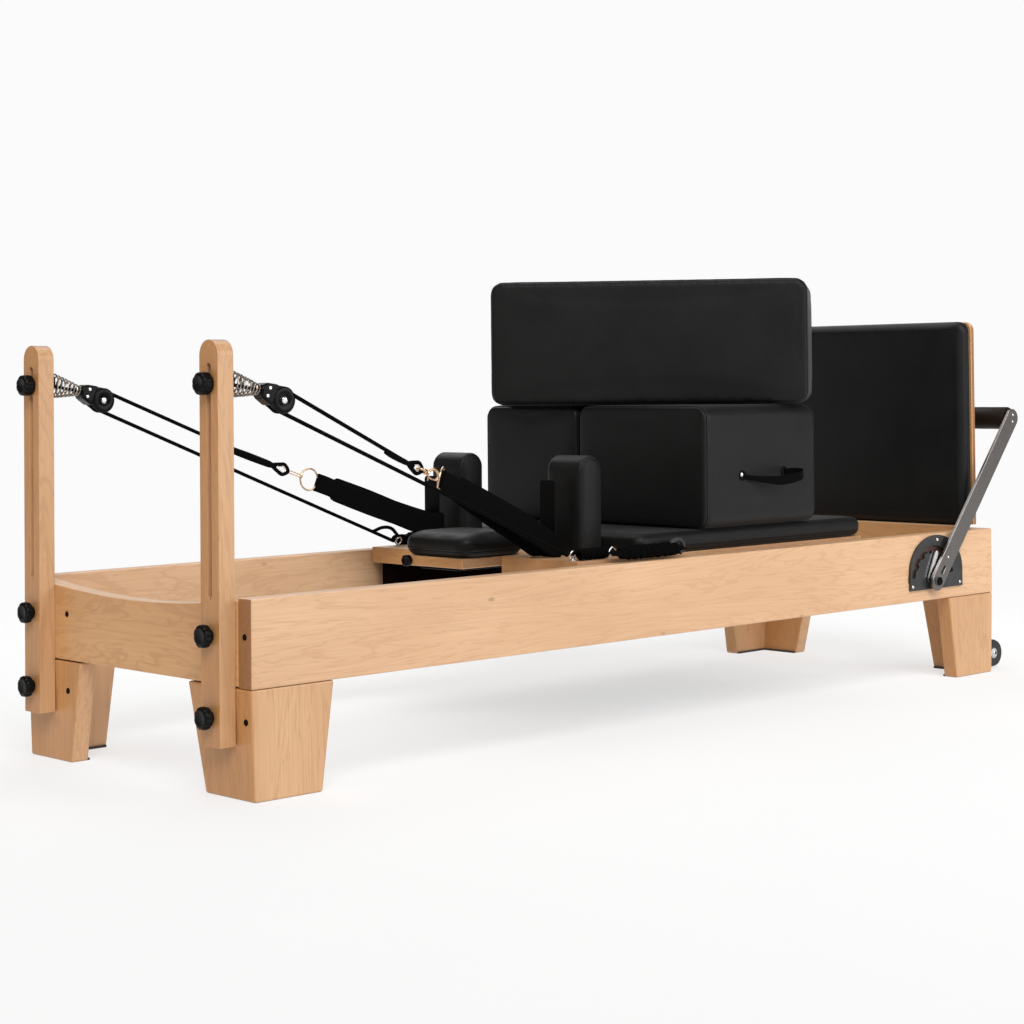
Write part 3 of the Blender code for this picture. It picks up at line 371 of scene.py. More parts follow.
STEEL_ARMS = brushed_metal("brushed_steel", (0.205, 0.190, 0.182), "X", 0.32)
ALUMINIUM = brushed_metal("track_aluminium", (0.72, 0.72, 0.73), "X", 0.30)
SPRING_WIRE = polished_metal("spring_wire", (0.36, 0.32, 0.28), 0.24)
CHROME = polished_metal("chrome", (0.82, 0.82, 0.83), 0.12)
BRASS = polished_metal("brass", (0.74, 0.52, 0.33), 0.20)
CORD = woven("black_cord", 0.0024, 2000.0)
WEBBING = woven("black_webbing", 0.0030, 1400.0)
FOAM = foam("grip_foam")
RUBBER = rubber("black_rubber", 0.012, 0.62)
# A dark wood tone for the thin sheet behind each gear plate's slot: painted shade.
SLOT_SHADE = wood("painted_slot_shade", "X", (0.060, 0.018, 0.008), (0.030, 0.010, 0.005)).material


# ---- Mesh helpers ----
def make(name, bm, material, body, replaces=(), smooth=40):
    """Turns a bmesh in frame coordinates into a finished piece that rides on a body."""
    bmesh.ops.recalc_face_normals(bm, faces=bm.faces)
    mesh = bpy.data.meshes.new(name)
    bm.to_mesh(mesh)
    bm.free()
    mesh.materials.append(material)
    mesh.shade_smooth()
    mesh.set_sharp_from_angle(angle=math.radians(smooth))
    made = bpy.data.objects.new(name, mesh)
    bpy.context.scene.collection.objects.link(made)
    if body:
        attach(made, body)
    if replaces:
        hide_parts(*replaces)
    return made


def bevelled(item, width, segments=3, angle=40):
    """Leaves a Bevel modifier on a piece, so its edges catch the light."""
    modifier = item.modifiers.new("edges", "BEVEL")
    modifier.width = width
    modifier.segments = segments
    modifier.limit_method = "ANGLE"
    modifier.angle_limit = math.radians(angle)
    return item


def joint_place(name):
    return Vector(JOINTS[name]["pos_m"])


def pair(name):
    """The names of the right and the left copy of a node."""
    return [f"{name}_{side}" for side in SIDES]


def round_piece(node):
    """The centre, half width along Y and radius of a node that turns about Y."""
    low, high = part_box(node)
    return (low + high) / 2, (high.y - low.y) / 2, (high.z - low.z) / 2


def local(origin, *axes):
    """A function from distances along some axes to a place, measured from an origin."""
    return lambda *steps: origin + sum((axis * step for axis, step in zip(axes, steps)), Vector())


def upright(direction):
    """A unit vector across a direction, as near to straight up as can be."""
    if abs(direction.z) < 0.9:
        return (Z - direction * direction.z).normalized()
    return direction.orthogonal().normalized()


def arc(centre, radius, start, end, steps):
    """Points on an arc, ends included, with angles in degrees."""
    points = []
    for i in range(steps + 1):
        angle = math.radians(start + (end - start) * i / steps)
        points.append((centre[0] + radius * math.cos(angle), centre[1] + radius * math.sin(angle)))
    return points


def rounded_outline(width, height, radius, steps=8):
    """A rounded rectangle centred on (0, 0), anticlockwise."""
    x, y = width / 2 - radius, height / 2 - radius
    points = arc((x, y), radius, 0, 90, steps) + arc((-x, y), radius, 90, 180, steps)
    return points + arc((-x, -y), radius, 180, 270, steps) + arc((x, -y), radius, 270, 360, steps)


def arch_outline(width, low, high, foot=0.006):
    """A round-topped outline with slightly rounded feet, centred on 0 across."""
    half = width / 2
    points = arc((0, high - half), half, 0, 180, 18)
    points += arc((-half + foot, low + foot), foot, 180, 270, 4)
    return points + arc((half - foot, low + foot), foot, 270, 360, 4)


def stadium(length, near_radius, far_radius):
    """An outline round two circles, at 0 and at length along the first axis."""
    spread = math.degrees(math.acos((near_radius - far_radius) / length))
    points = arc((length, 0), far_radius, -spread, spread, 28)
    return points + arc((0, 0), near_radius, spread, 360 - spread, 28)


def prism(outline, depth, matrix, bm=None):
    """An outline in a matrix's XY plane, made solid by depth along its Z, centred on it."""
    bm = bm or bmesh.new()
    ends = []
    for z in (-depth / 2, depth / 2):
        ends.append([bm.verts.new(matrix @ Vector((x, y, z))) for x, y in outline])
    count = len(outline)
    for k in range(count):
        n = (k + 1) % count
        bm.faces.new((ends[0][k], ends[0][n], ends[1][n], ends[1][k]))
    bm.faces.new(ends[0])
    bm.faces.new(ends[1])
    return bm


def facing(normal, place, turn=0.0):
    """A matrix at a place whose Z is along a normal axis, and whose XY are the other two axes."""
    columns = {
        "X": ((0, 1, 0), (0, 0, 1), (1, 0, 0)),
        "Y": ((1, 0, 0), (0, 0, 1), (0, -1, 0)),
        "Z": ((1, 0, 0), (0, 1, 0), (0, 0, 1)),
    }[normal]
    basis = Matrix(columns).transposed().to_4x4()
    return Matrix.Translation(place) @ Matrix.Rotation(turn, 4, "Z") @ basis


def lathe(profile, place, axis, steps=40, bm=None, ripple=None):
    """A profile of (radius, along) points turned about an axis through a place.

    ripple(angle, index) can scale each point's radius, for flutes.
    """
    bm = bm or bmesh.new()
    direction = Vector(axis).normalized()
    side = upright(direction)
    other = direction.cross(side)
    rings = []
    for k in range(steps):
        angle = 2 * math.pi * k / steps
        out = side * math.cos(angle) + other * math.sin(angle)
        ring = []
        for i, (radius, along) in enumerate(profile):
            scale = ripple(angle, i) if ripple else 1.0
            ring.append(bm.verts.new(place + direction * along + out * radius * scale))
        rings.append(ring)
    for k in range(steps):
        a, b = rings[k], rings[(k + 1) % steps]
        for i in range(len(profile) - 1):
            bm.faces.new((a[i], b[i], b[i + 1], a[i + 1]))
    bmesh.ops.remove_doubles(bm, verts=bm.verts, dist=1e-7)
    return bm


def mirrored(half):
    """A closed profile for lathe: one half, then its mirror image across the middle."""
    return half + [(radius, -along) for radius, along in reversed(half)] + half[:1]


def resample(path, step, closed=False):
    """The same path with its points a constant step apart."""
    points = list(path) + ([path[0]] if closed else [])
    lengths = [0.0]
    for a, b in zip(points, points[1:]):
        lengths.append(lengths[-1] + (b - a).length)
    count = max(3, round(lengths[-1] / step))
    result = []
    k = 0
    for i in range(count if closed else count + 1):
        target = lengths[-1] * i / count
        while k < len(points) - 2 and lengths[k + 1] < target:
            k += 1
        span = lengths[k + 1] - lengths[k]
        share = (target - lengths[k]) / span if span > 1e-9 else 0.0
        result.append(points[k].lerp(points[k + 1], min(max(share, 0.0), 1.0)))
    return result


def curve(points, step, closed=False, detail=14):
    """A smooth curve through points, sampled at a constant step."""
    points = [Vector(point) for point in points]
    count = len(points)
    dense = []
    for i in range(count if closed else count - 1):
        b, c = points[i], points[(i + 1) % count]
        a = points[i - 1] if closed or i > 0 else b * 2 - c
        d = points[(i + 2) % count] if closed or i + 2 < count else c * 2 - b
        for k in range(detail):
            t = k / detail
            square, cube = 2 * a - 5 * b + 4 * c - d, 3 * b - a - 3 * c + d
            dense.append((2 * b + (c - a) * t + square * t**2 + cube * t**3) / 2)
    if not closed:
        dense.append(points[-1])
    return resample(dense, step, closed)


def sweep(path, section, closed=False, up=None, bm=None):
    """A tube through path. section(i) gives the (side, up) offsets of the ring at point i."""
    bm = bm or bmesh.new()
    count = len(path)
    side = Vector(up) if up else None
    rings = []
    for i, point in enumerate(path):
        before = path[i - 1] if closed or i > 0 else path[i]
        after = path[(i + 1) % count] if closed or i + 1 < count else path[i]
        forward = (after - before).normalized()
        if side is None:
            side = forward.orthogonal()
        start = Vector(up) if up else side
        side = (start - forward * start.dot(forward)).normalized()
        across = forward.cross(side)
        rings.append([bm.verts.new(point + across * u + side * v) for u, v in section(i)])
    pairs = list(zip(rings, rings[1:]))
    if closed:
        pairs.append((rings[-1], rings[0]))
    for ring, following in pairs:
        for k in range(len(ring)):
            n = (k + 1) % len(ring)
            bm.faces.new((ring[k], ring[n], following[n], following[k]))
    if not closed:
        bm.faces.new(rings[0])
        bm.faces.new(rings[-1])
    return bm


def circle(radius, sides=10):
    """A round section for sweep."""
    ring = [(radius * math.cos(2 * math.pi * k / sides), radius * math.sin(2 * math.pi * k / sides))
            for k in range(sides)]
    return lambda i: ring


def tube(path, radius, sides=10, closed=False, up=None, bm=None):
    return sweep(path, circle(radius, sides), closed, up, bm)


def wire_ring(centre, radius, normal, wire, bm=None, steps=32, sides=10):
    """A wire ring in the plane across normal."""
    normal = Vector(normal).normalized()
    u = upright(normal)
    v = normal.cross(u)
    angles = [2 * math.pi * k / steps for k in range(steps)]
    path = [centre + (u * math.cos(angle) + v * math.sin(angle)) * radius for angle in angles]
    return tube(path, wire, sides, True, normal, bm)


def screw_head(bm, place, normal, radius, height):
    """A domed screw head with a hexagonal socket, standing on a surface."""
    socket = radius * 0.48
    profile = [(0, height * 0.35), (socket * 0.98, height * 0.35), (socket, height * 0.92),
               (radius * 0.62, height), (radius * 0.88, height * 0.78), (radius, height * 0.35),
               (radius, 0), (0, 0)]

    def six_sided(angle, i):
        if i not in (1, 2):
            return 1.0
        return math.cos(math.pi / 6) / math.cos(angle % (math.pi / 3) - math.pi / 6)

    return lathe(profile, place, normal, 24, bm, six_sided)


# ---- Upholstery ----
def bake_modifiers(item):
    """Replaces a piece's mesh by what its modifiers make of it at this frame."""
    graph = bpy.context.evaluated_depsgraph_get()
    final = bpy.data.meshes.new_from_object(item.evaluated_get(graph))
    item.modifiers.clear()
    item.data = final


def vertex_values(item, name):
    """One vector per vertex, such as its "co" or its "normal", as rows."""
    flat = np.zeros(len(item.data.vertices) * 3)
    item.data.vertices.foreach_get(name, flat)
    return flat.reshape(-1, 3)


def coordinates(item):
    return vertex_values(item, "co")


def put_coordinates(item, values):
    item.data.vertices.foreach_set("co", values.astype(np.float32).ravel())
    item.data.update()


def neighbour_mean(item, values, rounds):
    """Evens out one number per vertex over the mesh, a few rounds of neighbour averages."""
    edges = np.zeros(len(item.data.edges) * 2, dtype=np.int64)
    item.data.edges.foreach_get("vertices", edges)
    first, second = edges.reshape(-1, 2).T
    count = np.bincount(edges, minlength=len(values))
    for _ in range(rounds):
        total = np.bincount(first, values[second], len(values))
        total += np.bincount(second, values[first], len(values))
        values = 0.5 * values + 0.5 * total / count
    return values


def inflate(item, swell, pressure):
    """Swells a closed cover with a cloth simulation.

    Only the smoothed outward part of each point's motion is kept, and no more than swell.
    """
    start = coordinates(item)
    normals = vertex_values(item, "normal")
    cloth = item.modifiers.new("cloth", "CLOTH")
    cloth.settings.use_pressure = True
    cloth.settings.uniform_pressure_force = pressure
    cloth.settings.effector_weights.gravity = 0
    cloth.point_cache.frame_start = 1
    cloth.point_cache.frame_end = CLOTH_FRAMES
    for number in range(1, CLOTH_FRAMES + 1):
        bpy.context.scene.frame_set(number)
    bake_modifiers(item)
    bpy.context.scene.frame_set(1)
    outward = np.sum((coordinates(item) - start) * normals, axis=1)
    outward = np.maximum(neighbour_mean(item, outward, 24), 0.0)
    lift = neighbour_mean(item, swell * np.tanh(outward / swell), 3)
    put_coordinates(item, start + normals * lift[:, None])


def keep_inside(item, node, flat):
    """Presses a cover flat against faces of a node's box: ("low" or "high", axis, margin)."""
    box = dict(zip(("low", "high"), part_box(node)))
    press = {"low": np.maximum, "high": np.minimum}
    values = coordinates(item)
    for which, axis, margin in flat:
        values[:, axis] = press[which](values[:, axis], box[which][axis] + margin)
    put_coordinates(item, values)


def cut_groove(item, path, width=0.0045, depth=0.0016):
    """Pulls the cover in along a seam."""
    tree = KDTree(len(path))
    for k, point in enumerate(path):
        tree.insert(point, k)
    tree.balance()
    values, normals = coordinates(item), vertex_values(item, "normal")
    for k, value in enumerate(values):
        distance = tree.find(value)[2]
        if distance < 3 * width:
            values[k] -= normals[k] * depth * math.exp(-((distance / width) ** 2))
    put_coordinates(item, values)


def onto(item, path):
    """Each point of a path moved to the nearest point of a cover, with the cover's normal."""
    mesh = item.data
    tree = BVHTree.FromPolygons(
        [vertex.co for vertex in mesh.vertices], [polygon.vertices for polygon in mesh.polygons]
    )
    found = [tree.find_nearest(point) for point in path]
    return [hit[0] for hit in found], [hit[1] for hit in found]


def stitches(name, item, path, body):
    """A row of separate thread stitches laid on a cover along a closed path."""
    places, normals = onto(item, resample(path, STITCH_PITCH, True))
    bm = bmesh.new()
    for place, normal, following in zip(places, normals, places[1:] + places[:1]):
        half = (following - place).normalized() * STITCH_LENGTH / 2
        top = place + normal * 0.0003
        dip = normal * 0.0004
        thread = [top - half - dip, top - half * 0.6, top + half * 0.6, top + half - dip]
        tube(thread, 0.00042, 5, bm=bm)
    make(name, bm, THREAD, body)


def piping(name, item, path, body):
    """A welted seam sunk into a cover along a closed path."""
    dense = resample(path, 0.004, True)
    cut_groove(item, onto(item, dense)[0])
    welt = [place + normal * SEAM_RADIUS * 0.15 for place, normal in zip(*onto(item, dense))]
    make(name, tube(welt, SEAM_RADIUS, 8, True), PIPING, body)


def cover(name, body, node, form, spec, flat):
    """An upholstered form over a node: a slightly small solid, inflated, then pressed flat.

    form is (outline, depth, matrix), where outline(inset) gives the shape across the matrix's Z.
    spec is (inset, edge radius, voxel, swell, pressure), and flat lists faces of the node's box
    that the cover must not pass.
    """
    outline, depth, matrix = form
    inset, edge, voxel, swell, pressure = spec
    bm = prism(outline(inset), depth - 2 * inset, matrix)
    made = make(f"{name}_cover", bm, LEATHER, None)
    bevelled(made, edge, 4, 60)
    bake_modifiers(made)
    remesh = made.modifiers.new("remesh", "REMESH")
    remesh.mode = "VOXEL"
    remesh.voxel_size = voxel
    bake_modifiers(made)
    inflate(made, swell, pressure)
    keep_inside(made, node, flat)
    finer = made.modifiers.new("finer", "SUBSURF")
    finer.levels = 1
    finer.render_levels = 1
    bake_modifiers(made)
    made.data.shade_smooth()
    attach(made, body)
    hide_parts(node)
    return made


def laid(outline, matrix, z):
    """An outline's points in the frame, at z along the matrix's own Z."""
    return [matrix @ Vector((x, y, z)) for x, y in outline]


def slab(name, node, body, normal, corner, spec, flat, seam, row, row_inset=0.0):
    """A pad with one welted seam round its edge, and one row of stitches.

    seam and row are places along the normal, as shares of the pad's depth from its middle.
    """
    low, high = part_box(node)
    width, height = [value for value, axis in zip(high - low, "XYZ") if axis != normal]
    depth = (high - low)["XYZ".index(normal)]
    outline = lambda d: rounded_outline(width - 2 * d, height - 2 * d, corner - d, 10)
    matrix = facing(normal, (low + high) / 2)
    made = cover(name, body, node, (outline, depth, matrix), spec, flat)
    piping(f"{name}_piping", made, laid(outline(0.0), matrix, depth * seam), body)
    stitches(f"{name}_stitches", made, laid(outline(row_inset), matrix, depth * row), body)


def panelled(node, form, spec, flat, seam_inset, seam_drop):
    """A padded block with a welt and a row of stitches round each big face."""
    made = cover(node, node, node, form, spec, flat)
    outline, depth, matrix = form
    for sign, face in ((-1, "front"), (1, "back")):
        seam = laid(outline(seam_inset), matrix, sign * (depth / 2 - seam_drop))
        piping(f"{node}_{face}_piping", made, seam, node)
        row = laid(outline(seam_inset + 0.007), matrix, sign * depth / 2)
        stitches(f"{node}_{face}_stitches", made, row, node)


def shoulder_rest(side):
    node = f"shoulder_rest_{side}"
    low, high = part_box(node)
    size = high - low
    outline = lambda d: arch_outline(size.x - 2 * d, -size.z / 2 + d * 0.2, size.z / 2 - d)
    form = (outline, size.y, facing("Y", (low + high) / 2))
    panelled(node, form, (0.001, 0.0065, 0.0045, 0.0035, 5.0), [("low", 2, 0)], 0.0045, 0.0)


def padded_box(node, normal, size, turn, flat):
    """A padded box: two big faces with rounded corners, and a wrap round the other four."""
    low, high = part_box(node)
    width, height = [value for value, axis in zip(size, "XYZ") if axis != normal]
    outline = lambda d: rounded_outline(width - 2 * d, height - 2 * d, BOX_CORNER - d, 10)
    form = (outline, size["XYZ".index(normal)], facing(normal, (low + high) / 2, turn))
    panelled(node, form, (0.0005, 0.009, 0.0085, 0.0018, 4.0), flat, 0.0, 0.009)


def upholstery():
    slab("carriage_pad", "carriage_pad", "carriage", "Z", 0.028, (0.001, 0.016, 0.0075, 0.003, 4.0),
         [("low", 2, 0), ("high", 2, 0)], -0.34, -0.18)
    slab("headrest", "headrest_cushion", "headrest", "Z", 0.034, (0.0, 0.021, 0.0045, 0.007, 5.0),
         [("low", 2, 0)], -0.28, -0.12)
    slab("jumpboard", "jumpboard_pad", "jumpboard", "X", 0.024, (-0.001, 0.016, 0.0070, 0.004, 4.0),
         [("high", 0, 0)], 0.22, -0.5, 0.020)
    for side, inner in (("right", "high"), ("left", "low")):
        shoulder_rest(side)
        low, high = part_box(f"box_lower_{side}")
        flat = [("low", 2, 0), ("high", 2, 0), (inner, 1, 0)]
        padded_box(f"box_lower_{side}", "X", high - low, 0.0, flat)
    low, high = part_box("box_upper")
    size = Vector((*UPPER_BOX_SIZE, high.z - low.z))
    padded_box("box_upper", "Y", size, UPPER_BOX_TURN, [("low", 2, 0), ("high", 2, 0.002)])


# ---- CAD nodes that keep their shape ----
def finish_cad_nodes():
    maple, post = (MAPLE_LIGHT, MAPLE_DARK), (POST_LIGHT, POST_DARK)
    woods = [
        ("rail_maple", "X", maple, pair("side_rail")),
        ("board_maple", "Y", maple, ["head_board", "foot_board", "standing_platform"]),
        ("leg_maple", "Z", post, pair("leg_head") + pair("leg_foot")),
        ("riser_maple", "Z", post, pair("riser")),
        ("jumpboard_maple", "Y", maple, ["jumpboard_panel"]),
    ]
    for i, (name, grain, tones, nodes) in enumerate(woods):
        give(nodes, wood(name, grain, *tones, WOOD_SHIFT * i).material)
    carriage = wood("carriage_maple", "Y", CARRIAGE_LIGHT, CARRIAGE_DARK, WOOD_SHIFT * len(woods), 0.45)
    # Painted shade: the carriage's runners and underside are coloured near black.
    paint_shade_below(carriage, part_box("carriage_platform")[1].z - PLATFORM_BOARD)
    give(["carriage_platform", "headrest_board"], carriage.material)
    give(["spring_bar"] + pair("gear_plate") + pair("wheel_bracket"), GUNMETAL)
    give(pair("track"), ALUMINIUM)
    give(["footbar_frame"], STEEL_ARMS)
    give(["lock_lever"], CHROME)
    give(pair("strap_post") + pair("pulley_carrier"), BLACK_STEEL)


def paint_shade_below(made, height):
    """Painted shade under the carriage: everything under a height, the runners and the board's underside,
    is coloured near black, without coat or specular.
    """
    source = made.add("ShaderNodeTexCoord")
    level = made.add("ShaderNodeSeparateXYZ", {"Vector": source.outputs["Object"]}).outputs[2]
    bare = made.maths("GREATER_THAN", level, height + 0.0004)
    before = made.shader.inputs["Base Color"].links[0].from_socket
    made.set("Base Color", made.mix(bare, colour((0.0045, 0.0025, 0.0018)), before))
    made.set("Coat Weight", made.maths("MULTIPLY", bare, WOOD_COAT))
    made.set("Specular IOR Level", made.maths("MULTIPLY", bare, 0.5))


def give(nodes, material):
    for node in nodes:
        materials = frame["nodes"][node].data.materials
        materials.clear()
        materials.append(material)


# ---- Knobs ----
def hand_knob(node, joint, back, lobes=8, steps=96):
    """A fluted knob over a node, seen from the head end. back is the X of its flat side."""
    low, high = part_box(node)
    place = joint_place(joint)
    place.x = back
    radius, depth = (high.z - low.z) / 2, back - low.x
    lip = 0.0006 / depth
    shape = [(0.0, 0.0, 0), (0.55, 0.0, 0), (0.86, lip, 0.5), (0.97, 0.14, 1), (1.0, 0.30, 1),
             (1.0, 0.72, 1), (0.96, 0.88, 1), (0.84, 0.98, 0.8), (0.66, 1.0, 0.3), (0.54, 0.97, 0),
             (0.42, 0.93, 0), (0.0, 0.92, 0)]
    profile = [(radius * out, -depth * along) for out, along, _ in shape]

    def ripple(angle, i):
        return 1.0 - 0.085 * shape[i][2] * max(0.0, math.cos(lobes * angle)) ** 1.5

    bm = lathe(profile, place, X, steps, ripple=ripple)
    make(f"{node}_grip", bm, PLASTIC, node, [node], 50)
    return place


def washer(bm, place, radius, hole, thickness, axis):
    """A flat washer with softened edges."""
    edge = min(0.0005, thickness * 0.3)
    profile = [(hole, 0), (radius - edge, 0), (radius, edge), (radius, thickness - edge),
               (radius - edge, thickness), (hole, thickness), (hole, 0)]
    return lathe(profile, place, axis, 40, bm)


def knobs():
    for side in SIDES:
        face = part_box(f"riser_{side}")[0].x
        hand_knob(f"pulley_knob_{side}", f"pulley_knob_turn_{side}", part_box(f"pulley_knob_{side}")[1].x)
        for level in ("lower", "middle"):
            node, joint = f"riser_knob_{level}_{side}", f"riser_knob_turn_{level}_{side}"
            back = hand_knob(node, joint, joint_place(joint).x)
            bm = washer(None, Vector((face - 0.0016, back.y, back.z)), 0.0125, 0.0052, 0.0013, X)
            end = face - 0.0018 - back.x
            lathe([(0.0, -0.001), (0.0088, 0.0), (0.0088, end), (0.0, end)], back, X, 32, bm)
            make(f"{node}_collar", bm, BLACK_STEEL, node)
    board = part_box("headrest_board")[0].x
    hand_knob("headrest_knob", "headrest_knob_turn", board - 0.001, 6, 72)


# ---- Pulleys ----
def pulley(side):
    """A teardrop block with two cheeks, a grooved sheave and bright screws."""
    centre = joint_place(f"sheave_turn_{side}")
    low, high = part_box(f"pulley_block_{side}")
    body = f"pulley_{side}"
    tail = Vector((-math.cos(TAIL_ANGLE), 0, math.sin(TAIL_ANGLE)))
    up = Vector((math.sin(TAIL_ANGLE), 0, math.cos(TAIL_ANGLE)))
    basis = Matrix((tail, up, Y)).transposed().to_4x4()
    cheek = 0.0035
    spread = (high.y - low.y) / 2 - 0.003 - cheek / 2
    rim = [(0, 0), (0, 0.0012), (0.0100, 0.0012), (0.0120, 0.0026), (0.0225, 0.0026),
           (0.0250, 0.0018), (0.0262, 0.0), (0, 0)]
    hub = [(0, 0.0030), (0.0034, 0.0030), (0.0060, 0.0022), (0.0070, 0.0008), (0.0070, 0), (0, 0)]
    cheeks, rims, screws = bmesh.new(), bmesh.new(), bmesh.new()
    for out in (-Y, Y):
        matrix = Matrix.Translation(centre + out * spread) @ basis
        prism(stadium(TAIL_LENGTH, 0.0262, 0.0165), cheek, matrix, cheeks)
        face = centre + out * (spread + cheek / 2)
        lathe(rim, face, out, 56, rims)
        lathe(hub, face + out * 0.0012, out, 32, screws)
        for height in (0.0080, -0.0080):
            place = centre + out * BLOCK_HALF + tail * 0.0440 + up * height
            screw_head(screws, place, out, 0.0036, 0.0016)
    block = make(f"pulley_block_{side}_shell", cheeks, GLOSSY_PLASTIC, body,
                 [f"pulley_block_{side}"])
    bevelled(block, 0.0015)
    outline = clipped(stadium(TAIL_LENGTH, 0.0275, 0.0175), 0.0255)
    bm = prism(outline, 2 * BLOCK_HALF, Matrix.Translation(centre) @ basis)
    bevelled(make(f"pulley_back_{side}", bm, GLOSSY_PLASTIC, body), 0.0045, 5, 30)
    make(f"pulley_rim_{side}", rims, GLOSSY_PLASTIC, body)
    make(f"pulley_screws_{side}", screws, CHROME, body)
    pulley_sheave(side, centre)
    pulley_swivel(side, centre + tail * 0.050)


def clipped(outline, start):
    """The part of an outline whose first coordinate is at least start."""
    kept = []
    for a, b in zip(outline, outline[1:] + outline[:1]):
        if a[0] >= start:
            kept.append(a)
        if (a[0] - start) * (b[0] - start) < 0:
            share = (start - a[0]) / (b[0] - a[0])
            kept.append((start, a[1] + (b[1] - a[1]) * share))
    return kept


def pulley_sheave(side, centre):
    node = f"pulley_sheave_{side}"
    _, half, radius = round_piece(node)
    profile = [(0.0043, -half), (radius - 0.0012, -half), (radius, -half + 0.0006)]
    for along, rise in arc((0, 0), SHEAVE_GROOVE, 200, 340, 12):
        profile.append((radius - GROOVE_DEPTH + rise + SHEAVE_GROOVE + 0.0004, along))
    profile += [(radius, half - 0.0006), (radius - 0.0012, half), (0.0043, half), (0.0043, -half)]
    make(f"{node}_wheel", lathe(profile, centre, Y, 64), NYLON, f"sheave_{side}", [node])


def pulley_swivel(side, tail_end):
    """The conical spring round the swivel rod, from the riser's washer to the block's tail."""
    stud = joint_place(f"pulley_knob_turn_{side}")
    start = Vector((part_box(f"riser_{side}")[1].x + 0.006, stud.y, stud.z))
    end = tail_end + Vector((-0.004, 0, 0.0015))
    forward = (end - start).normalized()
    across = forward.cross(Y).normalized()
    turns, per_turn = 8.5, 28
    path = []
    for k in range(int(turns * per_turn) + 1):
        share = k / (turns * per_turn)
        angle = 2 * math.pi * turns * share
        offset = across * math.cos(angle) + Y * math.sin(angle)
        path.append(start.lerp(end, share) + offset * (0.0196 * (1 - share) ** 0.8 + 0.0066))
    body = f"pulley_{side}"
    make(f"pulley_spring_{side}", tube(path, 0.0019, 8), SPRING_WIRE, body)
    bm = wire_ring(end + forward * 0.003, 0.0075, Y, 0.0019)
    lathe([(0, 0), (0.0052, 0), (0.0062, 0.001), (0.0062, 0.007), (0.0052, 0.008), (0, 0.008)],
          end - forward * 0.012, forward, 28, bm)
    make(f"pulley_eye_{side}", bm, BRASS, body)
    bm = lathe([(0.0065, 0), (0.0240, 0), (0.0250, 0.001), (0.0250, 0.0035), (0.0215, 0.0060),
                (0.0120, 0.0085), (0.0120, 0.0120), (0.0065, 0.0120), (0.0065, 0)],
               start - forward * 0.004, forward, 48)
    make(f"pulley_washer_{side}", bm, BLACK_STEEL, body)


# ---- Ropes, hooks and straps ----
def braid(sides=16, radius=ROPE_RADIUS, step=ROPE_STEP):
    """A round section whose surface rises and falls like a braided cord."""
    def section(i):
        points = []
        for k in range(sides):
            angle = 2 * math.pi * k / sides
            one, two = (math.cos(5 * angle + way * i * step * 1300) for way in (1, -1))
            swell = radius * (1.0 + 0.04 * max(one, two))
            points.append((swell * math.cos(angle), swell * math.sin(angle)))
        return points
    return section


def cord(name, path, strand=(16, ROPE_RADIUS, ROPE_STEP), material=CORD):
    """A piece of braided cord on the carriage. strand is braid's sides, radius and step."""
    return make(name, sweep(path, braid(*strand)), material, "carriage")


def rope_points(side, sign):
    """Where the rope starts at the carriage's eye, touches the sheave, and meets its loop."""
    centre = joint_place(f"sheave_turn_{side}")
    rope_low, rope_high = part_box(f"rope_{side}")
    strap_low, strap_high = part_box(f"strap_{side}")
    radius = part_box(f"pulley_sheave_{side}")[1].z - centre.z
    wrap = radius - GROOVE_DEPTH + ROPE_RADIUS + 0.0003
    anchor = Vector((rope_high.x + EYE_SHIFT[side], centre.y, rope_low.z + ROPE_RADIUS))
    inner_y = min(abs(rope_low.y), abs(rope_high.y)) + ROPE_RADIUS
    end = Vector((strap_low.x, sign * inner_y, strap_high.z - 0.008))
    return centre, wrap, anchor, end


def touch_angle(centre, wrap, point, turn):
    """The angle in degrees, in the XZ plane, where a straight run to a point leaves the sheave."""
    away = math.atan2(point.z - centre.z, point.x - centre.x)
    reach = math.hypot(point.x - centre.x, point.z - centre.z)
    return math.degrees(away + turn * math.acos(wrap / reach))


def at_x(start, end, x):
    """The point with a given X on the straight from start to end."""
    return start.lerp(end, (x - start.x) / (end.x - start.x))


def strap_post_x(side):
    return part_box(f"strap_post_{side}")[0].x - 0.012


def follow_carriage(item):
    """Gives the piece its own copy of its mesh."""
    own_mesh(item)


def rope(side, sign):
    """The rope's turn round its sheave, then its two straight runs. Returns where they join."""
    centre, wrap, anchor, end = rope_points(side, sign)
    first = touch_angle(centre, wrap, anchor, -1)
    last = touch_angle(centre, wrap, end, 1) - 360
    around = [Vector((x, centre.y, z)) for x, z in arc((centre.x, centre.z), wrap, first, last, 24)]
    split_x = centre.x + 0.070
    low_split = at_x(around[0], anchor, split_x)
    high_split = at_x(around[-1], end, split_x)
    path = resample([low_split, *around, high_split], ROPE_STEP)
    made = make(f"rope_{side}_sheave_run", sweep(path, braid()), CORD, None,
                [f"rope_{side}"])
    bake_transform(made)
    post = Vector((strap_post_x(side), end.y, end.z))
    runs = (("lower", low_split, anchor, anchor), ("upper", high_split, end, post))
    for name, start, finish, held in runs:
        run = cord(f"rope_{side}_{name}_run", resample([start, finish], ROPE_STEP))
        follow_carriage(run)
    return split_x


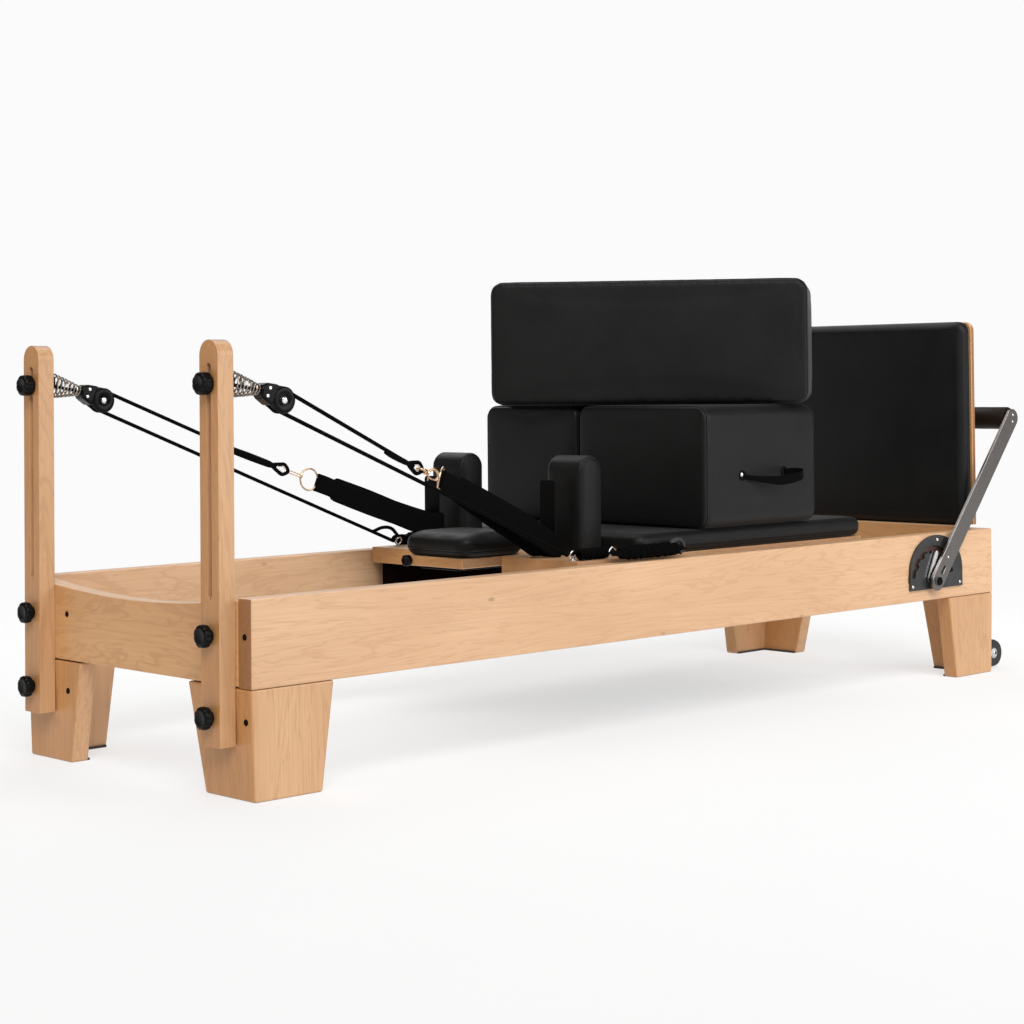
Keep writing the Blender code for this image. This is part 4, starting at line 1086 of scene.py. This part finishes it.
def strap_gear(side, sign, split_x):
    """The sleeve, thimble, hook, ring and padded loop from the rope's end to the post."""
    centre, _, _, end = rope_points(side, sign)
    back = (end - centre).normalized()
    end = end + back * LOOP_SHIFT[side]
    post_low, post_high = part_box(f"strap_post_{side}")
    post = (post_low + post_high) / 2
    ring_place = end + Vector((RING_REACH, -sign * 0.006, -0.36 * RING_REACH))
    forward = (ring_place - end).normalized()
    rise = forward.cross(Y).normalized()
    at = local(end, back, forward, rise)
    loop = [at(-0.016, 0, 0), at(0, 0.002, 0.0085), at(0, 0.014, 0.0108), at(0, 0.026, 0),
            at(0, 0.014, -0.0108), at(0, 0.002, -0.0085)]
    eye = at(0, 0.010, 0)
    inner = [eye + (point - eye) * 0.62 for point in loop]
    sleeve = rope_sleeve(at(-0.092 - LOOP_SHIFT[side], 0, 0), at(-0.010, 0, 0), SLEEVE_RADIUS[side])
    if side == "right":
        ring_normal = (Y * 0.8 + forward * 0.6 * sign).normalized()
        hook = snap_hook(at(0, 0.024, 0), forward, rise)
        tab_start = ring_place + forward * 0.003
    else:
        ring_normal = Y
        hook = wire_link(at(0, 0.016, 0), ring_place - forward * RING_RADIUS, rise)
        tab_start = ring_place + forward * (RING_RADIUS - 0.004)
    band, binding, thread = padded_loop(tab_start, post, sign, PARKED_LIFT[side])
    loop_cord = sweep(curve(loop, 0.002, True), braid(14, 0.0044, 0.002), True)
    pieces = [
        ("sleeve", sleeve, WEBBING, "black_webbing"),
        ("loop", loop_cord, WEBBING, "black_webbing"),
        ("thimble", tube(curve(inner, 0.002, True), 0.0017, 10, True, Y), CHROME, "brushed_steel"),
        ("ring", wire_ring(ring_place, RING_RADIUS, ring_normal, 0.0021, None, 48, 12), BRASS,
         "brushed_steel"),
        ("hook", hook, BRASS, "brushed_steel"),
        ("band", band, WEBBING, "black_webbing"),
        ("binding", binding, CORD, "black_webbing"),
        ("stitches", thread, THREAD, "black_webbing"),
    ]
    for name, bm, material, slot in pieces:
        replaced = [f"strap_{side}"] if name == "band" else []
        made = make(f"strap_{side}_{name}", bm, material, "carriage", replaced)
        follow_carriage(made)


def rope_sleeve(start, end, radius):
    """The sleeve that covers the rope's splice, tapered at both ends."""
    path = resample([start, end], 0.003)
    last = len(path) - 1

    def section(i):
        taper = min(1.0, 0.72 + 0.05 * min(i, last - i))
        thick = (radius + 0.0012 * math.sin(math.pi * i / last)) * taper
        return [(0.9 * u, v) for u, v in circle(thick, 16)(i)]

    return sweep(path, section)


def wire_link(start, end, rise):
    """A slim closed wire link between the thimble and the ring."""
    forward = (end - start).normalized()
    near, far = local(start, forward, rise), local(end, forward, rise)
    loop = [near(0.002, 0), near(0.005, 0.0026), far(0.001, 0.0026), far(0.004, 0),
            far(0.001, -0.0026), near(0.005, -0.0026)]
    return tube(curve(loop, 0.0015, True), 0.0013, 10, True, Y)


def snap_hook(eye, forward, rise):
    """A swivel snap: an eye, a barrel, and a hook with a sprung gate."""
    bm = wire_ring(eye, 0.0090, rise, 0.0023, None, 28)
    barrel = [(0, 0), (0.0050, 0), (0.0060, 0.001), (0.0060, 0.006), (0.0044, 0.008),
              (0.0044, 0.010), (0.0056, 0.011), (0.0056, 0.013), (0, 0.013)]
    lathe(barrel, eye + forward * 0.008, forward, 24, bm)
    at = local(eye + forward * 0.019, forward, rise)
    path = curve([at(0, 0), at(0.006, 0.007), at(0.016, 0.0125), at(0.028, 0.0100),
                  at(0.034, 0.0010), at(0.029, -0.0075)], 0.0012)
    last = len(path) - 1
    sweep(path, lambda i: circle(0.0036 - 0.0012 * i / last, 12)(i), up=Y, bm=bm)
    gate = curve([at(0, -0.001), at(0.010, -0.0080), at(0.027, -0.0078)], 0.0012)
    tube(gate, 0.0017, 10, bm=bm)
    tube(resample([at(0.004, -0.004), at(0.007, -0.0150)], 0.002), 0.0016, 8, bm=bm)
    return bm


def padded_loop(start, post, sign, lift):
    """The strap: a flat tab from the ring, then two padded bands either side of the post."""
    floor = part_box("strap_post_right")[0].z
    tip = Vector((post.x, post.y, floor + STRAP_WIDTH / 2 + 0.001 + lift))
    along = (tip - start).normalized()
    out = Y * sign
    gap = 0.0290
    ring_end, turn = local(start, along, out), local(tip, X, out, Z)
    places = (start + along * TAB_LENGTH, start.lerp(tip, 0.45), start.lerp(tip, 0.75))
    tab, near, far = (local(place, out, Z) for place in places)
    points = [
        ring_end(0, 0.0022), ring_end(TAB_LENGTH / 2, 0.0024), tab(0.0040, 0),
        near(0.0150, 0.002), far(0.0250, 0),
        turn(-0.022, gap + 0.001, 0.006), turn(0.006, gap, 0), turn(0.027, 0, 0),
        turn(0.006, -gap, 0), turn(-0.022, -gap - 0.001, 0.002),
        far(-0.0220, -0.008), near(-0.0120, -0.007), tab(-0.0040, -0.002),
        ring_end(TAB_LENGTH / 2, -0.0024), ring_end(0, -0.0022),
    ]
    step = 0.004
    path = curve(points, step)
    half_width, half_thick = STRAP_WIDTH / 2, STRAP_THICKNESS / 2
    last = len(path) - 1

    def section(i):
        """Flat on the tab, and quilted on the padded part."""
        pad = min(max((min(i, last - i) * step - TAB_LENGTH) / 0.006, 0.0), 1.0)
        width = half_width * (0.80 + 0.20 * pad)
        thick = half_thick * (0.55 + (0.45 + 0.12 * math.cos(i * 0.42)) * pad)
        outline = []
        for k in range(20):
            angle = 2 * math.pi * k / 20
            u = math.copysign(abs(math.sin(angle)) ** 0.8, math.sin(angle))
            v = math.copysign(abs(math.cos(angle)) ** 0.35, math.cos(angle))
            outline.append((u * thick, v * width))
        return outline

    first = round(TAB_LENGTH / step) + 2
    padded = path[first:-first]
    binding, thread = bmesh.new(), bmesh.new()
    for edge in (-1, 1):
        tube(offset_path(padded, edge * half_width * 0.965), 0.0018, 8, bm=binding)
        for face in (-1, 1):
            row = offset_path(padded, edge * half_width * 0.78, face * half_thick * 0.92)
            thread_row(thread, row)
    crossed_stitches(thread, start + along * 0.008, along, 0.024)
    return sweep(path, section, up=Z), binding, thread


def crossed_stitches(bm, start, along, length):
    """A sewn square with a cross in it, on both faces of the strap's tab."""
    half = STRAP_WIDTH * 0.30
    up = (Z - along * along.z).normalized()
    at = local(start, along, up, along.cross(up))
    for lift in (-0.0044, 0.0044):
        corners = [at(0, half, lift), at(length, half, lift), at(length, -half, lift),
                   at(0, -half, lift)]
        order = (0, 1, 2, 3, 0, 2, 1, 3)
        for a, b in zip(order, order[1:]):
            thread_row(bm, resample([corners[a], corners[b]], 0.002))


def offset_path(path, up_shift, side_shift=0.0):
    """A path moved along its own width, which stands as upright as it can, and its thickness."""
    result = []
    for i, point in enumerate(path):
        before, after = path[max(i - 1, 0)], path[min(i + 1, len(path) - 1)]
        forward = (after - before).normalized()
        side = (Z - forward * forward.z).normalized()
        result.append(point + side * up_shift + forward.cross(side) * side_shift)
    return result


def thread_row(bm, path):
    """Separate stitches along a path that already lies on a surface."""
    spaced = resample(path, 0.005)
    for a, b in zip(spaced, spaced[1:]):
        half = (b - a).normalized() * 0.0017
        centre = (a + b) / 2
        thread = [centre - half, centre - half * 0.5, centre + half * 0.5, centre + half]
        tube(thread, 0.0004, 5, bm=bm)


def rope_end(side, sign):
    """The eye bolt, the hook and the wound-up spare rope at the carriage's corner."""
    centre, _, anchor, _ = rope_points(side, sign)
    foot = Vector((anchor.x + 0.016, anchor.y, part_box("carriage_platform")[1].z))
    at = local(foot, X, Y * sign, Z)
    bm = wire_ring(at(0, 0, 0.013), 0.0080, (0, 1, 0.25), 0.0019)
    lathe([(0, 0), (0.0075, 0), (0.0085, 0.0008), (0.0085, 0.0022), (0.0030, 0.0030),
           (0.0025, 0.006), (0, 0.006)], foot, Z, 28, bm)
    if side == "left":
        rise = (centre.z - anchor.z) / (anchor.x - centre.x)
        loose = local(anchor, X, Z)
        tail = [loose(-0.062, rise * 0.062), loose(-0.034, 0.034), loose(-0.006, 0.030),
                at(0, 0, 0.022)]
        follow_carriage(cord(f"rope_tail_{side}", curve(tail, ROPE_STEP)))
    hook = [at(0.098 + x, 0.014, z) for x, z in
            ((0, 0), (0.002, 0.016), (0.012, 0.024), (0.024, 0.016), (0.030, 0.004))]
    tube(curve(hook, 0.002), 0.0019, 10, bm=bm)
    make(f"rope_eye_{side}", bm, CHROME, "carriage")
    wound = local(at(0.002, 0.014, 0.0135), X, Y, Z)
    turns, per_turn = 9, 20
    path = []
    for k in range(turns * per_turn + 1):
        angle = 2 * math.pi * k / per_turn
        wobble = 1 + 0.06 * math.sin(3.3 * angle)
        path.append(wound(0.086 * k / (turns * per_turn), 0.0105 * wobble * math.cos(angle),
                          0.0092 * wobble * math.sin(angle)))
    cord(f"rope_coil_{side}", resample(path, 0.0022), (12, 0.0037, 0.0022))
    rail_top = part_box(f"side_rail_{side}")[1].z
    rope_hank(side, sign, Vector((foot.x + 0.072, sign * 0.3715, rail_top + 0.0205)))


def rope_hank(side, sign, start):
    """Spare rope laid in long flat loops beside the pad, tightly wrapped, ending in a bight."""
    rng = random.Random(11 + sign)
    at = local(start, X, Y, Z)
    oval = ((0.0, -1), (0.30, -0.7), (0.70, -0.8), (1.0, -0.5), (1.0, 0.5), (0.70, 0.8),
            (0.30, 0.7), (0.0, 1))
    loops = []
    for k in range(4):
        for x, y in oval:
            jitter = Vector([rng.uniform(-size, size) for size in (0.003, 0.001, 0.001)])
            place = at(x * HANK_LENGTH * (1 - 0.03 * k), y * 0.0058, 0.0040 * (k % 2) - 0.002)
            loops.append(place + jitter)
    cord(f"rope_hank_{side}", curve(loops, 0.0024), (10, 0.0036, 0.0024))
    turns, per_turn = 25, 18
    wraps = []
    for k in range(turns * per_turn + 1):
        angle = 2 * math.pi * k / per_turn
        share = k / (turns * per_turn)
        wobble = 1 + 0.05 * math.sin(2.7 * angle) + 0.05 * math.sin(0.61 * angle)
        radius = 0.0118 * wobble * min(1.0, 0.72 + 1.6 * share, 0.86 + 1.2 * (1 - share))
        wraps.append(at((0.06 + 0.86 * share) * HANK_LENGTH, radius * math.cos(angle),
                        radius * math.sin(angle)))
    cord(f"rope_wraps_{side}", resample(wraps, 0.0024), (10, 0.0036, 0.0024))
    end = local(at(HANK_LENGTH - 0.014, 0, 0.002), X, Z)
    bight = [end(-0.026, 0.010), end(-0.006, 0.0180), end(0.012, 0.0135), end(0.018, -0.002),
             end(0.006, -0.0125)]
    # The bight uses the lighter black rubber instead of the cord: a painted highlight on the rope's end.
    cord(f"rope_bight_{side}", curve(bight, 0.0022), (12, 0.0050, 0.0022), RUBBER)


# ---- Springs ----
def spring(side):
    """A tension spring: closed coils with a turned-out hook at each end."""
    node = f"spring_{side}"
    low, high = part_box(node)
    y, z = (low.y + high.y) / 2, (low.z + high.z) / 2
    head, foot = low.x + 0.030, high.x - 0.054
    steps = 12 * round((foot - head) / COIL_PITCH)
    path = []
    for k in range(steps + 1):
        angle = 2 * math.pi * k / 12
        path.append(Vector((head + (foot - head) * k / steps, y + COIL_RADIUS * math.sin(angle),
                            z + COIL_RADIUS * math.cos(angle))))
    bm = tube(path, COIL_WIRE, 6)
    for end, way, reach in ((head, -1, head - low.x - 0.003), (foot, 1, high.x - 0.010 - foot)):
        at = local(Vector((end, y, z)), X * way, Z)
        bend = [at(0, COIL_RADIUS), at(0.006, 0.004), at(reach * 0.5, 0), at(reach * 0.9, 0.002),
                at(reach, -0.004)]
        tube(curve(bend, 0.002), COIL_WIRE, 8, bm=bm)
    made = make(f"{node}_coil", bm, SPRING_WIRE, None, [node], 60)
    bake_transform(made)


# ---- Footbar ----
def footbar():
    """The foam grip, and the rivets, bushes and pins of the two arms."""
    centre, half, radius = round_piece("footbar_grip")
    bar = radius * 0.545
    profile = [(bar, -half), (radius - 0.0035, -half), (radius - 0.0012, -half + 0.0010),
               (radius, -half + 0.0040)]
    rows = 60
    for k in range(1, rows):
        along = -half + 0.006 + (2 * half - 0.012) * k / rows
        profile.append((radius - 0.00012 * (1 + math.cos(k * 1.7)), along))
    profile += [(radius, half - 0.0040), (radius - 0.0012, half - 0.0010), (radius - 0.0035, half),
                (bar, half), (bar, -half)]
    make("footbar_grip_foam", lathe(profile, centre, Y, 64), FOAM, "footbar",
         ["footbar_grip"])
    pivot = joint_place("footbar_fold")
    along = Vector((centre.x - pivot.x, 0, centre.z - pivot.z)).normalized()
    across = along.cross(Y)
    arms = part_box("footbar_frame")
    for side, sign in SIDES.items():
        out = Y * sign
        face = arms[0].y if sign < 0 else arms[1].y
        top, foot = (local(Vector((end.x, face, end.z)), along, across, out) for end in (centre, pivot))
        bm = bmesh.new()
        for shift in (-0.0075, 0.0075):
            rivet(bm, top(shift, shift * 0.6, 0), out, 0.0034)
        rivet(bm, foot(0.073, 0.004, 0), out, 0.0032)
        make(f"footbar_rivets_{side}", bm, CHROME, "footbar")
        bm = washer(None, foot(0, 0, 0.0003), 0.0125, 0.0078, 0.0012, out)
        make(f"footbar_bush_{side}", bm, NYLON, "footbar")
        bm = screw_head(None, foot(0, 0, 0.0043), out, 0.0105, 0.0020)
        make(f"footbar_pin_{side}", bm, BLACK_STEEL, "bed")


def rivet(bm, place, normal, radius):
    """A low domed rivet."""
    profile = [(0, radius * 0.50), (radius * 0.35, radius * 0.47), (radius * 0.7, radius * 0.32),
               (radius, 0.0), (0, 0)]
    lathe(profile, place, normal, 24, bm)


def gear_plate_trim():
    """Each gear plate's countersunk screws, and a thin dark sheet of painted shade on the wood behind it.
    """
    lever = abs(joint_place("lock_lever_swing").y)
    pivot = joint_place("footbar_fold")
    outline = arc((pivot.x, pivot.z), 0.098, 0, 180, 32)
    for side, sign in SIDES.items():
        low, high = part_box(f"gear_plate_{side}")
        places = ((low.x + 0.010, low.z + 0.010), (high.x - 0.012, low.z + 0.010),
                  ((low.x + high.x) / 2 + 0.004, high.z - 0.012))
        bm = bmesh.new()
        for x, z in places:
            screw_head(bm, Vector((x, sign * (lever - 0.0045), z)), Y * sign, 0.0042, 0.0014)
        make(f"gear_screws_{side}", bm, CHROME, "bed")
        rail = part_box(f"side_rail_{side}")
        skin = rail[0].y if sign < 0 else rail[1].y
        place = facing("Y", Y * (skin + sign * 0.00015))
        # Painted shade: a thin dark wood-toned sheet on the rail behind the slot.
        make(f"gear_slot_shade_{side}", prism(outline, 0.0002, place), SLOT_SHADE, "bed")


# ---- Wheels and rollers ----
def transport_wheel(side, sign):
    node = f"transport_wheel_{side}"
    centre, half, radius = round_piece(node)
    tyre = mirrored([(0.0142, -half + 0.002), (radius * 0.86, -half + 0.0005),
                     (radius * 0.93, -half + 0.0012), (radius - 0.0012, -half + 0.0045),
                     (radius, -half + 0.0075)])
    make(f"{node}_tyre", lathe(tyre, centre, Y, 64), RUBBER, f"wheel_{side}", [node])
    hub = mirrored([(0.0046, -half), (0.0090, -half), (0.0100, -half + 0.001),
                    (0.0100, -half + 0.003), (0.0130, -half + 0.004), (0.0138, -half + 0.0025),
                    (0.0146, -half + 0.0035)])
    make(f"{node}_hub", lathe(hub, centre, Y, 48), WHITE_HUB, f"wheel_{side}")
    out = Y * sign
    bm = screw_head(None, centre + out * (half + 0.0002), out, 0.0065, 0.0026)
    make(f"wheel_bolt_{side}", bm, CHROME, "bed")


def carriage_roller(end, side):
    node = f"carriage_roller_{end}_{side}"
    centre, half, radius = round_piece(node)
    profile = mirrored([(0.0044, -half), (0.0090, -half), (0.0100, -half + 0.0015),
                        (radius - 0.003, -half + 0.0015), (radius - 0.0018, -half),
                        (radius - 0.0005, -half + 0.0006), (radius, -half + 0.002)])
    make(f"{node}_wheel", lathe(profile, centre, Y, 48), NYLON, f"roller_{end}_{side}",
         [node])


# ---- Small fittings on the wood ----
def frame_bolts():
    """Black bolt caps on the head and foot boards, and on the legs' ends below them."""
    ends = ((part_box("head_board")[0].x, -1), (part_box("foot_board")[1].x, 1))
    bm = bmesh.new()
    for sign in SIDES.values():
        for height, sunk in ((0.304, 0.0), (0.147, 0.0016)):
            for y in (0.2375, 0.3700):
                for x, way in ends:
                    bolt_cap(bm, Vector((x - way * sunk, sign * y, height)), X * way, 0.0062)
    make("frame_bolts", bm, BLACK_STEEL, "bed")


def bolt_cap(bm, place, normal, radius):
    """A dark cap with a dished middle, standing a little proud of the wood."""
    profile = [(0, 0.0004), (radius * 0.45, 0.0005), (radius * 0.60, 0.0010),
               (radius * 0.90, 0.0010), (radius, 0.0), (radius, -0.002), (0, -0.002)]
    lathe(profile, place, normal, 28, bm)


def foot_pads():
    """A thin black rubber skirt round the bottom of each leg."""
    height = 0.0045
    for end in ("head", "foot"):
        for side in SIDES:
            outline = grown(leg_outline(f"leg_{end}_{side}"), 0.0009)
            bm = prism(outline, height, Matrix.Translation((0, 0, height / 2)))
            make(f"foot_pad_{end}_{side}", bm, RUBBER, "bed")


def leg_outline(node):
    """The L-shaped outline of a leg's foot: its outer corner, ends and inner corner."""
    low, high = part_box(node)
    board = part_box("head_board")[1].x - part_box("head_board")[0].x
    bottom = [v.co for v in frame["nodes"][node].data.vertices if v.co.z < low.z + 0.001]
    far, near, inner = [], [], []
    for axis in (0, 1):
        way = 1 if high[axis] > 0 else -1
        reaches = [way * place[axis] for place in bottom]
        far.append(way * max(reaches))
        near.append(way * min(reaches))
        inner.append(way * (max(reaches) - board))
    return [(far[0], far[1]), (near[0], far[1]), (near[0], inner[1]),
            (inner[0], inner[1]), (inner[0], near[1]), (far[0], near[1])]


def grown(outline, amount):
    """An outline of right-angled corners moved outwards by an amount."""
    points = [Vector(point) for point in outline]
    following = points[1:] + points[:1]
    area = sum(a.x * b.y - b.x * a.y for a, b in zip(points, following))
    turn = amount if area > 0 else -amount
    result = []
    for before, point, after in zip(points[-1:] + points[:-1], points, following):
        way = (point - before).normalized() + (after - point).normalized()
        result.append((point.x + way.y * turn, point.y - way.x * turn))
    return result


def box_handle():
    """The carrying strap on the right lower box, held by two grommets."""
    low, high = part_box("box_lower_right")
    size = high - low
    left = Vector((low.x + 0.315 * size.x, low.y, low.z + 0.42 * size.z))
    right = Vector((low.x + 0.690 * size.x, low.y, left.z + 0.004))
    body = "box_lower_right"
    bm = bmesh.new()
    for place in (left, right):
        wire_ring(place - Y * 0.0010, 0.0100, Y, 0.0026, bm)
    make("handle_grommets", bm, BLACK_STEEL, body)
    bm = lathe([(0, 0.0048), (0.0030, 0.0044), (0.0055, 0.0026), (0.0062, 0.0), (0, 0)],
               left + Vector((-0.003, 0, 0.003)), -Y, 28)
    make("handle_button", bm, CHROME, body)
    at = local(left, right - left, -Y, -Z)
    bow = [at(0, -0.004, 0.002), at(0.06, 0.005, 0.004), at(0.32, 0.020, 0.011),
           at(0.66, 0.037, 0.016), at(0.98, 0.049, 0.010), at(1.10, 0.043, 0.003),
           at(1.08, 0.024, 0.0), at(1.02, 0.007, 0.0), at(1.0, -0.004, 0.0)]
    path = curve(bow, 0.003)
    last = len(path) - 1

    def section(i):
        share = math.sin(math.pi * i / last) ** 0.5
        width = 0.0100 + 0.0120 * share * min(1.0, 2.2 * i / last)
        return [(v, u) for u, v in rounded_outline(width, 0.0044, 0.0020, 4)]

    make("handle_strap", sweep(path, section, up=Z), WEBBING, body)


def headrest_prop():
    """The wire prop that holds the headrest up, folded under its board."""
    low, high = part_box("headrest_board")
    corners = [Vector((x, y, low.z - 0.004)) for x, y in
               ((high.x - 0.030, -0.060), (low.x + 0.020, -0.060), (low.x + 0.020, 0.060),
                (high.x - 0.030, 0.060))]
    bm = bmesh.new()
    for a, b in zip(corners, corners[1:]):
        tube(resample([a, b], 0.01), 0.0032, 12, bm=bm)
    make("headrest_prop", bm, BLACK_STEEL, "headrest")


# ---- Stage, light and camera ----
def stage():
    """A pale floor that fades into a white backdrop, soft studio light, and the camera."""
    low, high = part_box("side_rail_right")
    bed = (low.x + high.x) / 2
    mesh = bpy.data.meshes.new("studio_floor")
    reach = 60.0
    corners = [(-reach, -reach, 0), (reach, -reach, 0), (reach, reach, 0), (-reach, reach, 0)]
    mesh.from_pydata(corners, [], [(0, 1, 2, 3)])
    mesh.materials.append(floor_material())
    placed("studio_floor", mesh)
    world_light()
    sun((-0.40, -0.62, 0.68), 2.3, 36)
    white = (1.0, 1.0, 1.0)
    area("side_softbox", (bed + 1.6, -4.2, 1.9), (bed + 0.2, 0, 0.4), (3.4, 2.4), 90, white)
    area("head_softbox", (bed - 4.4, -0.6, 2.4), (bed, 0, 0.4), (2.4, 2.0), 16, (1.0, 0.93, 0.85))
    area("backdrop_glow", (bed + 2.8, 3.4, 1.3), (bed, 0, 0.5), (5.0, 2.6), 26, white)
    area("back_softbox", (bed + 1.1, 2.2, 3.3), (bed - 0.2, 0, 0.5), (3.4, 2.0), 50, white)
    area("top_softbox", (bed + 0.2, 0.4, 3.6), (bed, 0, 0.3), (3.6, 2.0), 24, white)
    camera(bed)


def placed(name, data):
    """A new object in the scene."""
    made = bpy.data.objects.new(name, data)
    bpy.context.scene.collection.objects.link(made)
    return made


def floor_material():
    """A bright floor: it takes soft shadows near the machine, and is plain white far away."""
    made = Surface("studio_floor", (0.34, 0.34, 0.34), 0.7)
    made.set("Specular IOR Level", 0.0)
    made.set("Emission Color", (1.0, 1.0, 1.0, 1.0))
    speck = made.noise(made.place(), 3.0, 3.0)
    made.set("Emission Strength", made.ramp(speck, [(0.3, FLOOR_GLOW - 0.004), (0.7, FLOOR_GLOW)]))
    place = made.add("ShaderNodeTexCoord").outputs["Object"]
    away = made.add("ShaderNodeVectorMath", {0: place}, operation="LENGTH").outputs["Value"]
    fade = made.ramp(made.maths("MULTIPLY", away, 0.2), [(0.40, 0.0), (0.80, 1.0)])
    plain = made.add("ShaderNodeEmission", {"Color": colour((BACKDROP,) * 3)})
    choose = made.add("ShaderNodeMixShader", {0: fade, 1: made.shader.outputs[0]})
    made.tree.links.new(plain.outputs[0], choose.inputs[2])
    made.tree.links.new(choose.outputs[0], made.tree.nodes["Material Output"].inputs["Surface"])
    return made.material


def world_light():
    """White to the camera, and a dim soft sky for the light."""
    world = bpy.data.worlds.new("studio")
    bpy.context.scene.world = world
    world.use_nodes = True
    tree = world.node_tree
    tree.nodes.clear()
    choose = tree.nodes.new("ShaderNodeMixShader")
    path = tree.nodes.new("ShaderNodeLightPath")
    tree.links.new(path.outputs["Is Camera Ray"], choose.inputs["Fac"])
    for slot, tone, strength in ((1, (1.0, 0.99, 0.98), 0.13), (2, (BACKDROP,) * 3, 1.0)):
        light = tree.nodes.new("ShaderNodeBackground")
        light.inputs["Color"].default_value = colour(tone)
        light.inputs["Strength"].default_value = strength
        tree.links.new(light.outputs["Background"], choose.inputs[slot])
    output = tree.nodes.new("ShaderNodeOutputWorld")
    tree.links.new(choose.outputs["Shader"], output.inputs["Surface"])


def sun(toward, strength, spread):
    data = bpy.data.lights.new("key", "SUN")
    data.energy = strength
    data.angle = math.radians(spread)
    placed("key", data).rotation_euler = Vector(toward).to_track_quat("Z", "Y").to_euler()


def area(name, place, target, size, power, tint):
    data = bpy.data.lights.new(name, "AREA")
    data.color = tint
    data.shape = "RECTANGLE"
    data.size, data.size_y = size
    data.energy = power
    lamp = placed(name, data)
    lamp.location = place
    lamp.rotation_euler = (Vector(place) - Vector(target)).to_track_quat("Z", "Y").to_euler()


def camera(bed):
    """A long lens at the head end's right-hand corner, a little below the box tops."""
    data = bpy.data.cameras.new("camera")
    data.sensor_width = 36.0
    data.lens = 74.86
    data.shift_x = -0.03521
    data.shift_y = -0.16894
    data.clip_end = 200.0
    made = placed("camera", data)
    made.location = (bed - 3.5578, -3.5752, 0.7685)
    made.rotation_euler = (1.59130, 0.00960, -0.77650)
    bpy.context.scene.camera = made
    bpy.context.scene.view_settings.view_transform = "Standard"


upholstery()
finish_cad_nodes()
knobs()
for side_name, side_sign in SIDES.items():
    pulley(side_name)
    strap_gear(side_name, side_sign, rope(side_name, side_sign))
    rope_end(side_name, side_sign)
    transport_wheel(side_name, side_sign)
    for end_name in ("head", "foot"):
        carriage_roller(end_name, side_name)
for spring_name in ("right", "middle", "left"):
    spring(spring_name)
footbar()
gear_plate_trim()
frame_bolts()
foot_pads()
box_handle()
headrest_prop()
stage()
